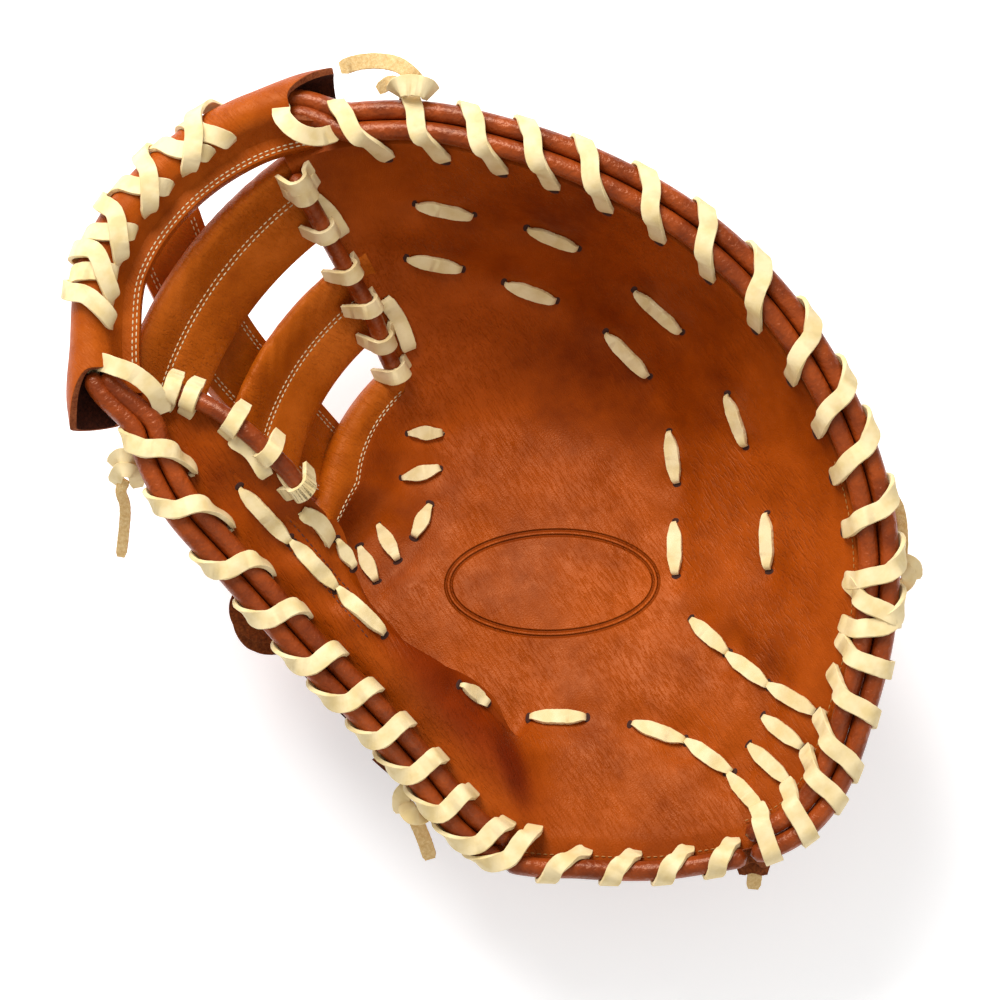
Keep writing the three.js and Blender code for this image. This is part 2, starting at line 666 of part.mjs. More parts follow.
// The wrist strap crosses the back under the heel, from the thumb's back to the
// little finger's, and lies on the floor between them.
const STRAP_START = STRAP_PATH[0][0];
const STRAP_END = STRAP_PATH[STRAP_PATH.length - 1][0];

// A point below the backs, whose curve changes from the thumb's to the fingers' across
// the wrist.
function underBack(share, angle, depth) {
  const thumbEnd = THUMB_BACK_END - 360;
  const across = ease((angle - thumbEnd) / (FINGER_BACK_START - thumbEnd));
  const curve = mix(THUMB_BACK_CURVE, FINGER_BACK_CURVE, across);
  const point = backPoint(share, angle, curve);
  const slope = backPoint(share + PATH_STEP, angle, curve).sub(point);
  const run = Math.hypot(slope.x, slope.y);
  const length = Math.hypot(run, slope.z);
  const out = polar(angle, (slope.z / length) * depth);
  point.add(out);
  point.z = Math.max(0, point.z - (run / length) * depth);
  return point;
}

function strapSheet(start, end, columns, width, depth, thickness, room = 0) {
  const rows = 3;
  const pointAt = (i, j) => {
    const angle = mix(start, end, j / columns);
    const reach = RIM_REACH * section(REACH, angle);
    const middle = valueAt(STRAP_PATH, 1, angle);
    return underBack(middle + ((i / rows - 0.5) * width) / reach, angle, depth);
  };
  return leather(pointAt, rows, columns, -thickness, () => true, room);
}

const backRooms = [fingerBackRoom, thumbBackRoom];
const STRAP_DEPTH = STRAP_THICKNESS + 2 * CLEARANCE;
const STRAP_COLUMNS = 20;
const STRAP_COURSE = [STRAP_START, STRAP_END, STRAP_COLUMNS, STRAP_WIDTH, STRAP_DEPTH, STRAP_THICKNESS];
addPiece('wrist_strap', cutBy(strapSheet(...STRAP_COURSE), ...backRooms), STRAP_LEATHER);
const strapRoom = manifoldOf(strapSheet(...STRAP_COURSE, CLEARANCE));

// The keeper holds the strap down where it leaves the thumb's back.
const KEEPER_COLUMNS = 3;
const keeperReach = RIM_REACH * section(REACH, KEEPER_ANGLE);
const keeperTurn = THREE.MathUtils.radToDeg(KEEPER_WIDTH / 2 / keeperReach);
const keeper = strapSheet(KEEPER_ANGLE - keeperTurn, KEEPER_ANGLE + keeperTurn, KEEPER_COLUMNS,
  STRAP_WIDTH + 2 * KEEPER_OVERHANG, STRAP_DEPTH + KEEPER_THICKNESS + CLEARANCE, KEEPER_THICKNESS);
addPiece('strap_keeper', cutBy(keeper, strapRoom, ...backRooms), STRAP_LEATHER);

// A small loop of the strap's leather on its outer edge, to pull it by.
function pullLoop() {
  const reach = RIM_REACH * section(REACH, PULL_LOOP_ANGLE);
  const edgeShare = valueAt(STRAP_PATH, 1, PULL_LOOP_ANGLE) + STRAP_WIDTH / 2 / reach;
  const edge = underBack(edgeShare, PULL_LOOP_ANGLE, STRAP_DEPTH / 2);
  const out = polar(PULL_LOOP_ANGLE, 1);
  const across = polar(PULL_LOOP_ANGLE + 90, 1);
  const half = PULL_LOOP_WIDTH / 2;
  const thin = PULL_LOOP_THICKNESS / 2;
  const steps = 8;
  const stations = [];
  for (let k = 0; k <= steps; k += 1) {
    const a = Math.PI * (k / steps - 0.5);
    const normal = out.clone().multiplyScalar(Math.cos(a));
    normal.z = Math.sin(a);
    const point = edge.clone().addScaledVector(normal, PULL_LOOP_RADIUS);
    point.addScaledVector(out, CLEARANCE + thin);
    point.z += PULL_LOOP_RADIUS / 2;
    stations.push({ point, across, up: normal });
  }
  return sweep(stations, [[[-half, -thin], [half, -thin], [half, thin], [-half, thin]]]);
}
addPiece('pull_loop', cutBy(pullLoop(), strapRoom, ...backRooms), STRAP_LEATHER);

// The origin is in the middle of the mitt's outline, on the surface it rests on.
const extent = new THREE.Box3().setFromObject(mitt);
const middle = extent.getCenter(new THREE.Vector3());
mitt.position.set(-middle.x, -middle.y, -extent.min.z);

export default mitt;
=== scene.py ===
import math

import bpy
import numpy as np
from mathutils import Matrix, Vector, noise
from mathutils.bvhtree import BVHTree


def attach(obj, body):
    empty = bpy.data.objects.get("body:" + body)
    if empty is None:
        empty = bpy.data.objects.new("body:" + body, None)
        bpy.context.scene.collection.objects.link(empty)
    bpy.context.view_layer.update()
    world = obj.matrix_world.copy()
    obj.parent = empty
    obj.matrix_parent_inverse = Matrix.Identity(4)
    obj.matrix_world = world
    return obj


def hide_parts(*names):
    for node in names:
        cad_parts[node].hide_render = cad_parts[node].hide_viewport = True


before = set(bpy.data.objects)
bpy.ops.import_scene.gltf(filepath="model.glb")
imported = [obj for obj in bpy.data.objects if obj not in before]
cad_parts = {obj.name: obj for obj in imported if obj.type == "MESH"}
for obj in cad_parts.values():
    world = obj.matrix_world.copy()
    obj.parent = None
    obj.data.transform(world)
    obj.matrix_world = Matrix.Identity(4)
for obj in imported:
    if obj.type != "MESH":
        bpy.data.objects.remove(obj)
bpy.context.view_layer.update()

# The floor, the light and the camera. The mitt lies on a pale studio floor under one broad
# soft light from above the web, with a weaker one from the heel's side, and the camera
# looks down on it from a little in front of the heel.
FLOOR_SIZE = 6.0
FLOOR_LEVEL = -0.0005
FLOOR_WHITE = "F6F6F6"
FLOOR_GLOW = 0.38
WORLD_LIGHT = 0.52
LENS_MM = 150
CAMERA_DISTANCE = 1.437
CAMERA_ELEVATION = 80
CAMERA_TURN = -33
VIEW_CENTRE = Vector((-0.0038, -0.0016, 0.060))
PHOTO_PIXELS = 1000
SENSOR_MM = 36


def linear(code):
    """Linear RGBA of an sRGB hex colour."""
    parts = [int(code[k:k + 2], 16) / 255 for k in (0, 2, 4)]
    return [c / 12.92 if c <= 0.04045 else ((c + 0.055) / 1.055) ** 2.4 for c in parts] + [1.0]


def set_inputs(node, inputs):
    """Gives each named input of a shader node its value, or its link from a socket."""
    for name, value in inputs.items():
        if isinstance(value, bpy.types.NodeSocket):
            node.id_data.links.new(value, node.inputs[name])
        else:
            node.inputs[name].default_value = value


def add_node(tree, kind, inputs, **settings):
    """Adds a shader node with its settings and its inputs."""
    node = tree.nodes.new("ShaderNode" + kind)
    for name, value in settings.items():
        setattr(node, name, value)
    set_inputs(node, inputs)
    return node


def start_material(name):
    """A new material's tree and shader."""
    material = bpy.data.materials.new(name)
    material.use_nodes = True
    return material, material.node_tree, material.node_tree.nodes["Principled BSDF"]


def deselect():
    if bpy.context.object and bpy.context.object.mode == "EDIT":
        bpy.ops.object.mode_set(mode="OBJECT")
    bpy.ops.object.select_all(action="DESELECT")


deselect()
bpy.ops.mesh.primitive_plane_add(size=FLOOR_SIZE, location=(0, 0, FLOOR_LEVEL))
floor = bpy.context.object
floor.name = "studio_floor"
floor_paper, tree, shader = start_material("matt_white_paper")
set_inputs(shader, {"Base Color": linear(FLOOR_WHITE), "Roughness": 0.9,
                    "Emission Color": linear("FFFFFF"), "Emission Strength": FLOOR_GLOW})
floor.data.materials.append(floor_paper)

turn = math.radians(CAMERA_TURN)
lift = math.radians(CAMERA_ELEVATION)
look = Vector((-math.sin(turn) * math.cos(lift), math.cos(turn) * math.cos(lift), -math.sin(lift)))
image_right = Vector((math.cos(turn), math.sin(turn), 0))
image_up = image_right.cross(look)
camera_data = bpy.data.cameras.new("camera")
camera_data.lens = LENS_MM
camera_data.sensor_width = SENSOR_MM
camera_data.clip_end = 50
camera = bpy.data.objects.new("camera", camera_data)
bpy.context.scene.collection.objects.link(camera)
camera.location = VIEW_CENTRE - look * CAMERA_DISTANCE
camera.rotation_euler = look.to_track_quat("-Z", "Y").to_euler()
bpy.context.scene.camera = camera

FOCAL_PIXELS = LENS_MM / SENSOR_MM * PHOTO_PIXELS


def photo_ray(x, y):
    """Direction from the camera through a pixel of the photo."""
    return look + (image_right * (x - PHOTO_PIXELS / 2) + image_up * (PHOTO_PIXELS / 2 - y)) / FOCAL_PIXELS


SOFT_LIGHTS = [
    # name, towards the image's right, up and height in metres, size in metres, watts
    ("key_softbox", -0.45, 0.95, 1.15, 0.8, 29),
    ("fill_softbox", 0.60, -0.90, 1.10, 1.0, 3),
]
flat_up = Vector((image_up.x, image_up.y, 0)).normalized()
for name, right, up, height, size, watts in SOFT_LIGHTS:
    light = bpy.data.lights.new(name, "AREA")
    light.shape = "SQUARE"
    light.size = size
    light.energy = watts
    lamp = bpy.data.objects.new(name, light)
    bpy.context.scene.collection.objects.link(lamp)
    lamp.location = image_right * right + flat_up * up + Vector((0, 0, height))
    lamp.rotation_euler = (VIEW_CENTRE - lamp.location).to_track_quat("-Z", "Y").to_euler()
world = bpy.data.worlds.new("studio")
world.use_nodes = True
set_inputs(world.node_tree.nodes["Background"], {"Color": linear("FFFFFF"), "Strength": WORLD_LIGHT})
bpy.context.scene.world = world
bpy.context.scene.view_settings.view_transform = "Standard"

# The palm: one saddle tan leather, padded behind, pressed into a deep bowl with the
# thumb's part folded up and over. The web's opening is cut out of it. Its rim is sewn
# down under the rolls, and the running laces hold its padding in two rows of dents.
POCKET_CENTRE = np.array([3.027, -4.012, 0.0])
RIM_REACH = 150.0
RIM_HEIGHT = 112.0
POCKET_BOTTOM = 27.0
HEEL_PAD_RISE = 25.0
HEEL_PAD_START = 40.0
HEEL_PAD_END = -125.0
POCKET_RADIUS = 120.0
THUMB_BULGE = 5.0
PALM_LEATHER = 3.0
BACK_LEATHER = 2.6
ROLL_DIAMETER = 6.8
WEB_WELT_DIAMETER = 5.4
CLEARANCE = 0.3
LEATHER_EDGE = 0.9
SQUEEZED_SHARE = 0.12
# angle, rim's reach, rim's height, wall's foot, fold's crest, fold, fold below the opening
SECTIONS = np.array([
    [-180, 0.665, 0.755, 0.30, 0.60, 1, 1],
    [-160, 0.660, 0.700, 0.30, 0.62, 1, 1],
    [-145, 0.715, 0.610, 0.30, 0.60, 1, 1],
    [-132, 0.825, 0.540, 0.35, 0.64, 1, 1],
    [-126, 0.866, 0.526, 0.40, 0.76, 1, 1],
    [-121, 0.880, 0.520, 0.45, 0.88, 0, 0],
    [-114, 0.895, 0.525, 0.48, 0.90, 0, 0],
    [-100, 0.958, 0.555, 0.50, 0.90, 0, 0],
    [-83, 1.030, 0.640, 0.48, 0.90, 0, 0],
    [-65, 0.945, 0.740, 0.42, 0.90, 0, 0],
    [-45, 0.865, 0.830, 0.36, 0.90, 0, 0],
    [-20, 0.770, 0.910, 0.30, 0.90, 0, 0],
    [0, 0.727, 0.960, 0.26, 0.90, 0, 0],
    [20, 0.715, 0.990, 0.24, 0.90, 0, 0],
    [40, 0.735, 1.000, 0.24, 0.90, 0, 0],
    [58, 0.793, 0.985, 0.25, 0.90, 0, 0],
    [75, 0.893, 0.930, 0.27, 0.90, 0, 0],
    [90, 0.975, 0.870, 0.28, 0.80, 0, 0],
    [110, 0.985, 0.900, 0.28, 0.70, 0.5, 0],
    [128, 0.955, 0.945, 0.28, 0.62, 1, 0],
    [140, 0.895, 0.925, 0.28, 0.60, 1, 0],
    [153, 0.810, 0.875, 0.28, 0.58, 1, 0.4],
    [165, 0.720, 0.810, 0.30, 0.58, 1, 1],
])
REACH, HEIGHT, FOOT, CREST, FOLD, FOLD_LOW = range(1, 7)
OPENING_BOTTOM = 0.45
# row share, angle of the opening's edge
FINGER_EDGE = np.array([[0.45, 101], [0.50, 99], [0.60, 95.5], [0.75, 94], [1, 92.5]])
THUMB_EDGE = np.array(
    [[0.45, 158], [0.58, 163], [0.65, 159], [0.70, 149], [0.76, 142], [0.85, 137.5], [1, 135]])
# row share, way out as a share of the crest, and of the whole, rise to the rim
FOLD_ROWS = np.array([
    [0.00, 0.00, 0.000, 0.00],
    [0.30, 0.72, 0.000, 0.00],
    [0.45, 1.00, 0.040, 0.04],
    [0.53, 1.00, 0.050, 0.45],
    [0.60, 1.00, 0.010, 0.84],
    [0.66, 0.95, 0.040, 0.97],
    [0.80, 0.55, 0.440, 1.00],
    [1.00, 0.00, 1.000, 1.00],
])
FOLD_BLEND = 0.15
SWELL_START = 0.55
WALL_CURVE = 1.8
WALL_TOP = 0.95
BAND_INSET = 2 * ROLL_DIAMETER + CLEARANCE
FLANGE_INSET = ROLL_DIAMETER / 2 + BACK_LEATHER


def mix(start, end, share):
    return start + (end - start) * share


def ease(share):
    t = np.clip(share, 0, 1)
    return t * t * (3 - 2 * t)


def value_at(table, column, place, turn=0):
    """Smooth values of a table's column; a table that goes round has its turn."""
    keys, values = table[:, 0], table[:, column]
    place = np.asarray(place, float)
    if turn:
        place = keys[0] + np.mod(place - keys[0], turn)
        values = np.concatenate((values[-1:], values, values[:2]))
        keys = np.concatenate((keys[-1:] - turn, keys, keys[:2] + turn))
    index = np.arange(len(keys))
    ahead, back = np.minimum(index + 1, len(keys) - 1), np.maximum(index - 1, 0)
    slopes = (values[ahead] - values[back]) / (keys[ahead] - keys[back])
    place = np.clip(place, keys[0], keys[-1])
    k = np.clip(np.searchsorted(keys, place, side="right") - 1, 0, len(keys) - 2)
    width = keys[k + 1] - keys[k]
    t = (place - keys[k]) / width
    start = (2 * t ** 3 - 3 * t ** 2 + 1) * values[k] + (t ** 3 - 2 * t ** 2 + t) * width * slopes[k]
    end = (3 * t ** 2 - 2 * t ** 3) * values[k + 1] + (t ** 3 - t ** 2) * width * slopes[k + 1]
    return start + end


def section(column, angle):
    return value_at(SECTIONS, column, angle, 360)


def polar(angle, reach, height=0.0):
    a = np.radians(angle)
    return np.stack(np.broadcast_arrays(reach * np.cos(a), reach * np.sin(a), height), -1).astype(float)


def unit(vectors):
    length = np.linalg.norm(vectors, axis=-1, keepdims=True)
    return vectors / np.maximum(length, 1e-12)


def rim_inwards(angle):
    """Direction square to the rim's outline, towards the inside."""
    step = 1.0
    ahead = polar(angle + step, RIM_REACH * section(REACH, angle + step))
    back = polar(angle - step, RIM_REACH * section(REACH, angle - step))
    along = unit(ahead - back)
    return np.stack((-along[..., 1], along[..., 0], np.zeros_like(along[..., 0])), -1)


def rim_point(angle, inset, rise=0.0):
    angle = np.asarray(angle, float)
    outline = polar(angle, RIM_REACH * section(REACH, angle), RIM_HEIGHT * section(HEIGHT, angle) + rise)
    return outline + rim_inwards(angle) * np.asarray(inset, float)[..., None]


def pocket_floor(y):
    return POCKET_BOTTOM + HEEL_PAD_RISE * ease((HEEL_PAD_START - y) / (HEEL_PAD_START - HEEL_PAD_END))


def palm_point(share, angle):
    """Top of the palm's leather: row share from the pocket's centre, 0, to the edge, 1."""
    share, angle = np.broadcast_arrays(np.asarray(share, float), np.asarray(angle, float))
    top = rim_point(angle, BAND_INSET + CLEARANCE)
    row = np.minimum(1, share / WALL_TOP)
    blend = ease((share - OPENING_BOTTOM) / FOLD_BLEND)
    fold = np.clip(mix(section(FOLD_LOW, angle), section(FOLD, angle), blend), 0, 1)
    folded_out = value_at(FOLD_ROWS, 1, row) * section(CREST, angle) + value_at(FOLD_ROWS, 2, row)
    out = mix(row, folded_out, fold)
    wall_top = np.hypot(top[..., 0], top[..., 1])
    reach = out * mix(POCKET_RADIUS, wall_top, out * out)
    point = top * (reach / wall_top)[..., None]
    low = pocket_floor(point[..., 1])
    foot = section(FOOT, angle)
    bowl_rise = np.maximum(0, (row - foot) / (1 - foot)) ** WALL_CURVE
    swell = THUMB_BULGE * fold * np.sin(math.pi * ease((row - SWELL_START) / (1 - SWELL_START)))
    rise = mix(bowl_rise, value_at(FOLD_ROWS, 3, row), fold)
    point[..., 2] = low + (top[..., 2] - low) * rise + swell
    edge = rim_point(angle, FLANGE_INSET + CLEARANCE)
    flange = np.maximum(0, (share - WALL_TOP) / (1 - WALL_TOP))[..., None]
    return mix(point, edge, flange)


def in_frame(points):
    """Millimetres round the pocket's centre to metres in the part's frame."""
    return (points + POCKET_CENTRE) / 1000


def to_photo(points):
    """Where points in millimetres round the pocket's centre lie in the photo."""
    away = in_frame(points) - np.array(camera.location)
    scale = FOCAL_PIXELS / (away @ np.array(look))
    across, up = away @ np.array(image_right), away @ np.array(image_up)
    return np.stack((across * scale, -up * scale), -1) + PHOTO_PIXELS / 2


def make_active(piece):
    deselect()
    bpy.context.view_layer.objects.active = piece
    piece.select_set(True)


def edit(piece, step, wanted=None, parts="polygons", **settings):
    """Takes a mesh step on all of a piece, or on its wanted vertices, edges or polygons."""
    make_active(piece)
    bpy.ops.object.mode_set(mode="EDIT")
    modes = [parts == kind for kind in ("vertices", "edges", "polygons")]
    bpy.context.tool_settings.mesh_select_mode = modes
    bpy.ops.mesh.select_all(action="SELECT" if wanted is None else "DESELECT")
    if wanted is not None:
        bpy.ops.object.mode_set(mode="OBJECT")
        getattr(piece.data, parts).foreach_set("select", wanted)
        bpy.ops.object.mode_set(mode="EDIT")
    step(**settings)
    bpy.ops.object.mode_set(mode="OBJECT")


def grid_piece(name, rows, columns, place, keep=None):
    """A grid whose points are set in place by a function of its two shares."""
    deselect()
    bpy.ops.mesh.primitive_grid_add(x_subdivisions=rows, y_subdivisions=columns, size=1)
    piece = bpy.context.object
    piece.name = piece.data.name = name
    shares = np.array([v.co for v in piece.data.vertices]) + 0.5
    piece.data.vertices.foreach_set("co", in_frame(place(shares[:, 0], shares[:, 1])).ravel())
    if keep:
        middles = np.array([shares[list(p.vertices)].mean(0) for p in piece.data.polygons])
        edit(piece, bpy.ops.mesh.delete, ~keep(middles[:, 0], middles[:, 1]), type="FACE")
    edit(piece, bpy.ops.mesh.remove_doubles, threshold=0.00002)
    return piece


def apply_modifier(piece, kind, **settings):
    modifier = piece.modifiers.new(kind.lower(), kind)
    for name, value in settings.items():
        setattr(modifier, name, value)
    bpy.context.view_layer.objects.active = piece
    bpy.ops.object.modifier_apply(modifier=modifier.name)


def soften_edges(piece, width_mm):
    apply_modifier(piece, "BEVEL", width=width_mm / 1000, segments=2, limit_method="ANGLE",
                   angle_limit=math.radians(55))
    bpy.ops.object.shade_smooth_by_angle(angle=math.radians(50))


def leather_wall(piece, thickness_mm, facing, fullness=None):
    """Turns the sheet's faces up, 1, or down, -1, and gives it its thickness and soft edges.
    Fullness is each point's share of the thickness, for leather squeezed in a tight fold."""
    if facing * sum(p.normal.z * p.area for p in piece.data.polygons) < 0:
        edit(piece, bpy.ops.mesh.flip_normals)
    make_active(piece)
    squeezed = {}
    if fullness is not None:
        group = piece.vertex_groups.new(name="fullness")
        for k, share in enumerate(fullness):
            group.add([k], float(share), "REPLACE")
        squeezed = {"vertex_group": "fullness", "thickness_vertex_group": SQUEEZED_SHARE}
    apply_modifier(piece, "SOLIDIFY", thickness=thickness_mm / 1000, offset=-1, **squeezed)
    piece.vertex_groups.clear()
    soften_edges(piece, min(LEATHER_EDGE, thickness_mm * 0.3))


def finish_piece(piece, material, slot, *replaced):
    if material:
        piece.data.materials.clear()
        piece.data.materials.append(material)
    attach(piece, "root")
    if replaced:
        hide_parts(*replaced)


def relief(points, scale_mm, seed):
    """Smooth noise from -1 to 1 at points in millimetres."""
    shift = Vector((seed * 17.3, seed * 5.1, seed * 9.7))
    return np.array([noise.noise(Vector(p) / scale_mm + shift) for p in points])


# The running laces' two ends, x, y, x, y in the photo's pixels: two rows in the pocket's
# upper part, the fan below the web, the chains at the heel, the thumb's row
RUNNING_LACES = [
    (417, 204, 472, 215), (529, 228, 577, 247), (636, 291, 681, 331), (728, 395, 746, 445),
    (767, 514, 769, 569), (408, 258, 461, 268), (506, 283, 555, 300), (607, 333, 648, 375),
    (670, 432, 677, 482), (675, 523, 676, 574),
    (409, 433, 441, 433), (403, 478, 439, 469), (430, 506, 415, 536), (379, 525, 397, 559),
    (360, 548, 376, 580), (337, 541, 352, 567),
    (692, 620, 727, 652), (728, 654, 768, 685), (769, 685, 816, 712), (764, 717, 803, 747),
    (750, 745, 790, 783), (633, 724, 684, 741), (686, 741, 731, 772), (729, 774, 764, 815),
    (531, 718, 585, 718), (461, 686, 487, 703),
    (241, 488, 290, 541), (291, 540, 335, 588), (336, 588, 383, 634),
]
DENT_DEPTH = 2.4
DENT_REACH = 7.5
PADDING_UNEVEN = 1.4
FOLD_END_ANGLE = -121
FOLD_END_SPREAD = 15
FOLD_END_PASSES = 28
FOLD_END_REACH = (0.25, 0.86)
DENTS_TOGETHER = 1.3
SQUEEZE_END = 0.9
SQUEEZE_BLEND = 0.1
PADDING_WAVE = 34.0
PALM_GRID_ROWS = 96
PALM_GRID_COLUMNS = 252
OPENING_SHARE = 0.16


def snapped(share, rows, stops):
    """Moves the grid's nearest rows to the places where the form has an edge."""
    moved = share.copy()
    for stop in stops:
        moved[np.isclose(share, round(stop * rows) / rows)] = stop
    return moved


def palm_surface(u, v):
    """The palm round its pocket; the last of the way round crosses the web's opening."""
    share = snapped(u, PALM_GRID_ROWS, [OPENING_BOTTOM, WALL_TOP])
    across = snapped(v, PALM_GRID_COLUMNS, [1 - OPENING_SHARE])
    thumb = value_at(THUMB_EDGE, 1, share)
    finger = value_at(FINGER_EDGE, 1, share)
    round_palm = mix(thumb, finger + 360, across / (1 - OPENING_SHARE))
    over_opening = mix(finger, thumb, (across - 1 + OPENING_SHARE) / OPENING_SHARE)
    return palm_point(share, np.where(across <= 1 - OPENING_SHARE, round_palm, over_opening))


def palm_kept(share, across):
    return (across < 1 - OPENING_SHARE) | (share < OPENING_BOTTOM)


def points_of(piece):
    """The piece's points in millimetres round the pocket's centre."""
    return np.array([v.co for v in piece.data.vertices]) * 1000 - POCKET_CENTRE


def round_rim(points):
    """Each point's angle, and its share of the way out to the rim."""
    angles = np.degrees(np.arctan2(points[:, 1], points[:, 0]))
    return angles, np.hypot(points[:, 0], points[:, 1]) / (RIM_REACH * section(REACH, angles))


def surface_tree(piece):
    return BVHTree.FromPolygons([v.co.copy() for v in piece.data.vertices],
                                [list(p.vertices) for p in piece.data.polygons])


def on_palm(x, y):
    """The place on the palm's leather under a pixel of the photo, and its normal."""
    hit, normal, _, _ = palm_tree.ray_cast(camera.location, photo_ray(x, y))
    normal = np.array(normal if normal.z > 0 else -normal)
    return np.array(hit) * 1000 - POCKET_CENTRE, normal


palm = grid_piece("palm_leather", PALM_GRID_ROWS, PALM_GRID_COLUMNS, palm_surface, palm_kept)
angles, out_share = round_rim(points_of(palm))
at_fold_end = ((np.abs(angles - FOLD_END_ANGLE) < FOLD_END_SPREAD)
               & (out_share > FOLD_END_REACH[0]) & (out_share < FOLD_END_REACH[1]))
edit(palm, bpy.ops.mesh.vertices_smooth, at_fold_end, "vertices", factor=0.5, repeat=FOLD_END_PASSES)
palm_tree = surface_tree(palm)
dents = np.array([on_palm(*lace[k:k + 2])[0] for lace in RUNNING_LACES for k in (0, 2)])
places = points_of(palm)
outwards = np.array([v.normal for v in palm.data.vertices])
outwards *= np.sign(outwards[:, 2:3] + 1e-9)
nearness = np.linalg.norm(places[:, None] - dents[None], axis=2) / DENT_REACH
sinking = DENT_DEPTH * np.minimum(DENTS_TOGETHER, np.exp(-nearness ** 2).sum(1))
height_share = np.clip(np.hypot(places[:, 0], places[:, 1]) / POCKET_RADIUS, 0, 1)
waves = PADDING_UNEVEN * relief(places, PADDING_WAVE, 3) * (1 - height_share ** 4)
places += outwards * (waves - sinking)[:, None]
palm.data.vertices.foreach_set("co", in_frame(places).ravel())
palm_tree = surface_tree(palm)
angles, out_share = round_rim(places)
in_fold = np.clip(section(FOLD, angles) * 3, 0, 1)
leather_wall(palm, PALM_LEATHER, 1, 1 - in_fold * ease((SQUEEZE_END - out_share) / SQUEEZE_BLEND))


def object_place(tree):
    """Every material lies on its object's own coordinates."""
    return add_node(tree, "TexCoord", {}).outputs["Object"]


def placed(tree, place, rotation, scale, centre=(0, 0, 0), kind="TEXTURE"):
    """The place as it reads from a turned frame of its own size and centre."""
    return add_node(tree, "Mapping", {"Vector": place, "Rotation": rotation, "Scale": scale,
                                      "Location": centre}, vector_type=kind).outputs[0]


def noise_at(tree, place, scale, detail=2, roughness=0.5, distortion=0):
    return add_node(tree, "TexNoise", {"Vector": place, "Scale": scale, "Detail": detail,
                                       "Roughness": roughness, "Distortion": distortion}).outputs["Fac"]


def ranged(tree, value, start, end, low=0, high=1, kind="LINEAR"):
    return add_node(tree, "MapRange", {"Value": value, "From Min": start, "From Max": end, "To Min": low,
                                       "To Max": high}, interpolation_type=kind).outputs[0]


def worked_out(tree, operation, *values):
    return add_node(tree, "Math", dict(enumerate(values)), operation=operation).outputs[0]


def length_of(tree, vector):
    return add_node(tree, "VectorMath", {0: vector}, operation="LENGTH").outputs["Value"]


def mixed(tree, factor, first, second, kind="MIX"):
    """A colour laid over another; 6, 7 and 2 are the Mix node's colour sockets."""
    return add_node(tree, "Mix", {0: factor, 6: first, 7: second}, data_type="RGBA",
                    blend_type=kind).outputs[2]


def toned(tree, value, *stops):
    """A value's colour on a ramp between stops, each a place and a colour."""
    node = add_node(tree, "ValToRGB", {"Fac": value})
    elements = node.color_ramp.elements
    for element, (position, code) in ((elements[0], stops[0]), (elements[1], stops[-1])):
        element.position = position
        element.color = linear(code)
    for position, code in stops[1:-1]:
        elements.new(position).color = linear(code)
    return node.outputs["Color"]


def two_tone(name, dark, light, tone_noise, bump_noise, shine):
    """A material whose colour runs between two tones with a noise, with a bumpy surface:
    the bump's noise is followed by its strength and its depth in millimetres."""
    material, tree, shader = start_material(name)
    place = object_place(tree)
    set_inputs(shader, {"Base Color": toned(tree, noise_at(tree, place, *tone_noise), dark, light), **shine})
    if bump_noise:
        *fineness, strength, depth_mm = bump_noise
        bump = add_node(tree, "Bump", {"Height": noise_at(tree, place, *fineness), "Strength": strength,
                                       "Distance": depth_mm / 1000})
        set_inputs(shader, {"Normal": bump.outputs[0]})
    return material


CREASE_SIZE = (0.0007, 0.0065, 0.002)
SCRATCH_SIZE = (420, 38, 120)


def tan_leather(name, light, dark, deep, roughness, crease_turn):
    """Full-grain cowhide, drum-dyed saddle tan and oiled: a fine pore grain, soft mottling,
    creases along the hand, sunk and darkened with painted shade, and a few pale scuffs,
    with a satin shine."""
    material, tree, shader = start_material(name)
    place = object_place(tree)
    mottle = noise_at(tree, place, 130, 5, 0.65)
    tone = worked_out(tree, "MULTIPLY_ADD", mottle, 0.3, noise_at(tree, place, 22, 4, 0.6))
    tint = toned(tree, tone, (0.42, deep), (0.64, dark), (0.90, light))
    crease_place = placed(tree, place, (0, 0, math.radians(crease_turn)), CREASE_SIZE)
    lines = ranged(tree, noise_at(tree, crease_place, 1, 2.5, 0.5, 0.7), 0.50, 0.66)
    patches = ranged(tree, noise_at(tree, place, 26), 0.40, 0.62, 0.15)
    creased = worked_out(tree, "MULTIPLY", lines, patches)
    # Painted shade: the crease lines are darkened towards the deep tone.
    tint = mixed(tree, worked_out(tree, "MULTIPLY", creased, 0.1), tint, linear(deep))
    pores = add_node(tree, "TexVoronoi", {"Vector": place, "Scale": 1100}, feature="DISTANCE_TO_EDGE")
    sunk = worked_out(tree, "MULTIPLY", creased, -1)
    grain = worked_out(tree, "MULTIPLY_ADD", pores.outputs["Distance"], 0.45, sunk)
    bump = add_node(tree, "Bump", {"Height": grain, "Strength": 0.5, "Distance": 0.0005})
    scratch_turn = (0.3, 0, math.radians(crease_turn + 35))
    scratch_place = placed(tree, place, scratch_turn, SCRATCH_SIZE, kind="POINT")
    scuff = ranged(tree, noise_at(tree, scratch_place, 1, 2, 0.5, 1.2), 0.70, 0.78, 0, 0.2)
    set_inputs(shader, {
        "Base Color": mixed(tree, scuff, tint, linear(light)),
        "Roughness": ranged(tree, mottle, 0.35, 0.7, roughness + 0.08, roughness - 0.08),
        "Normal": bump.outputs[0],
        "Specular IOR Level": 0.3,
        "Specular Tint": linear("FFBE8C"),
    })
    return material


saddle_leather = tan_leather("oiled_saddle_cowhide", "B65610", "9A4204", "782A02", 0.46, 10)
palm_hide = tan_leather("pocket_of_saddle_cowhide", "AE4C0C", "943C02", "742800", 0.43, 0)
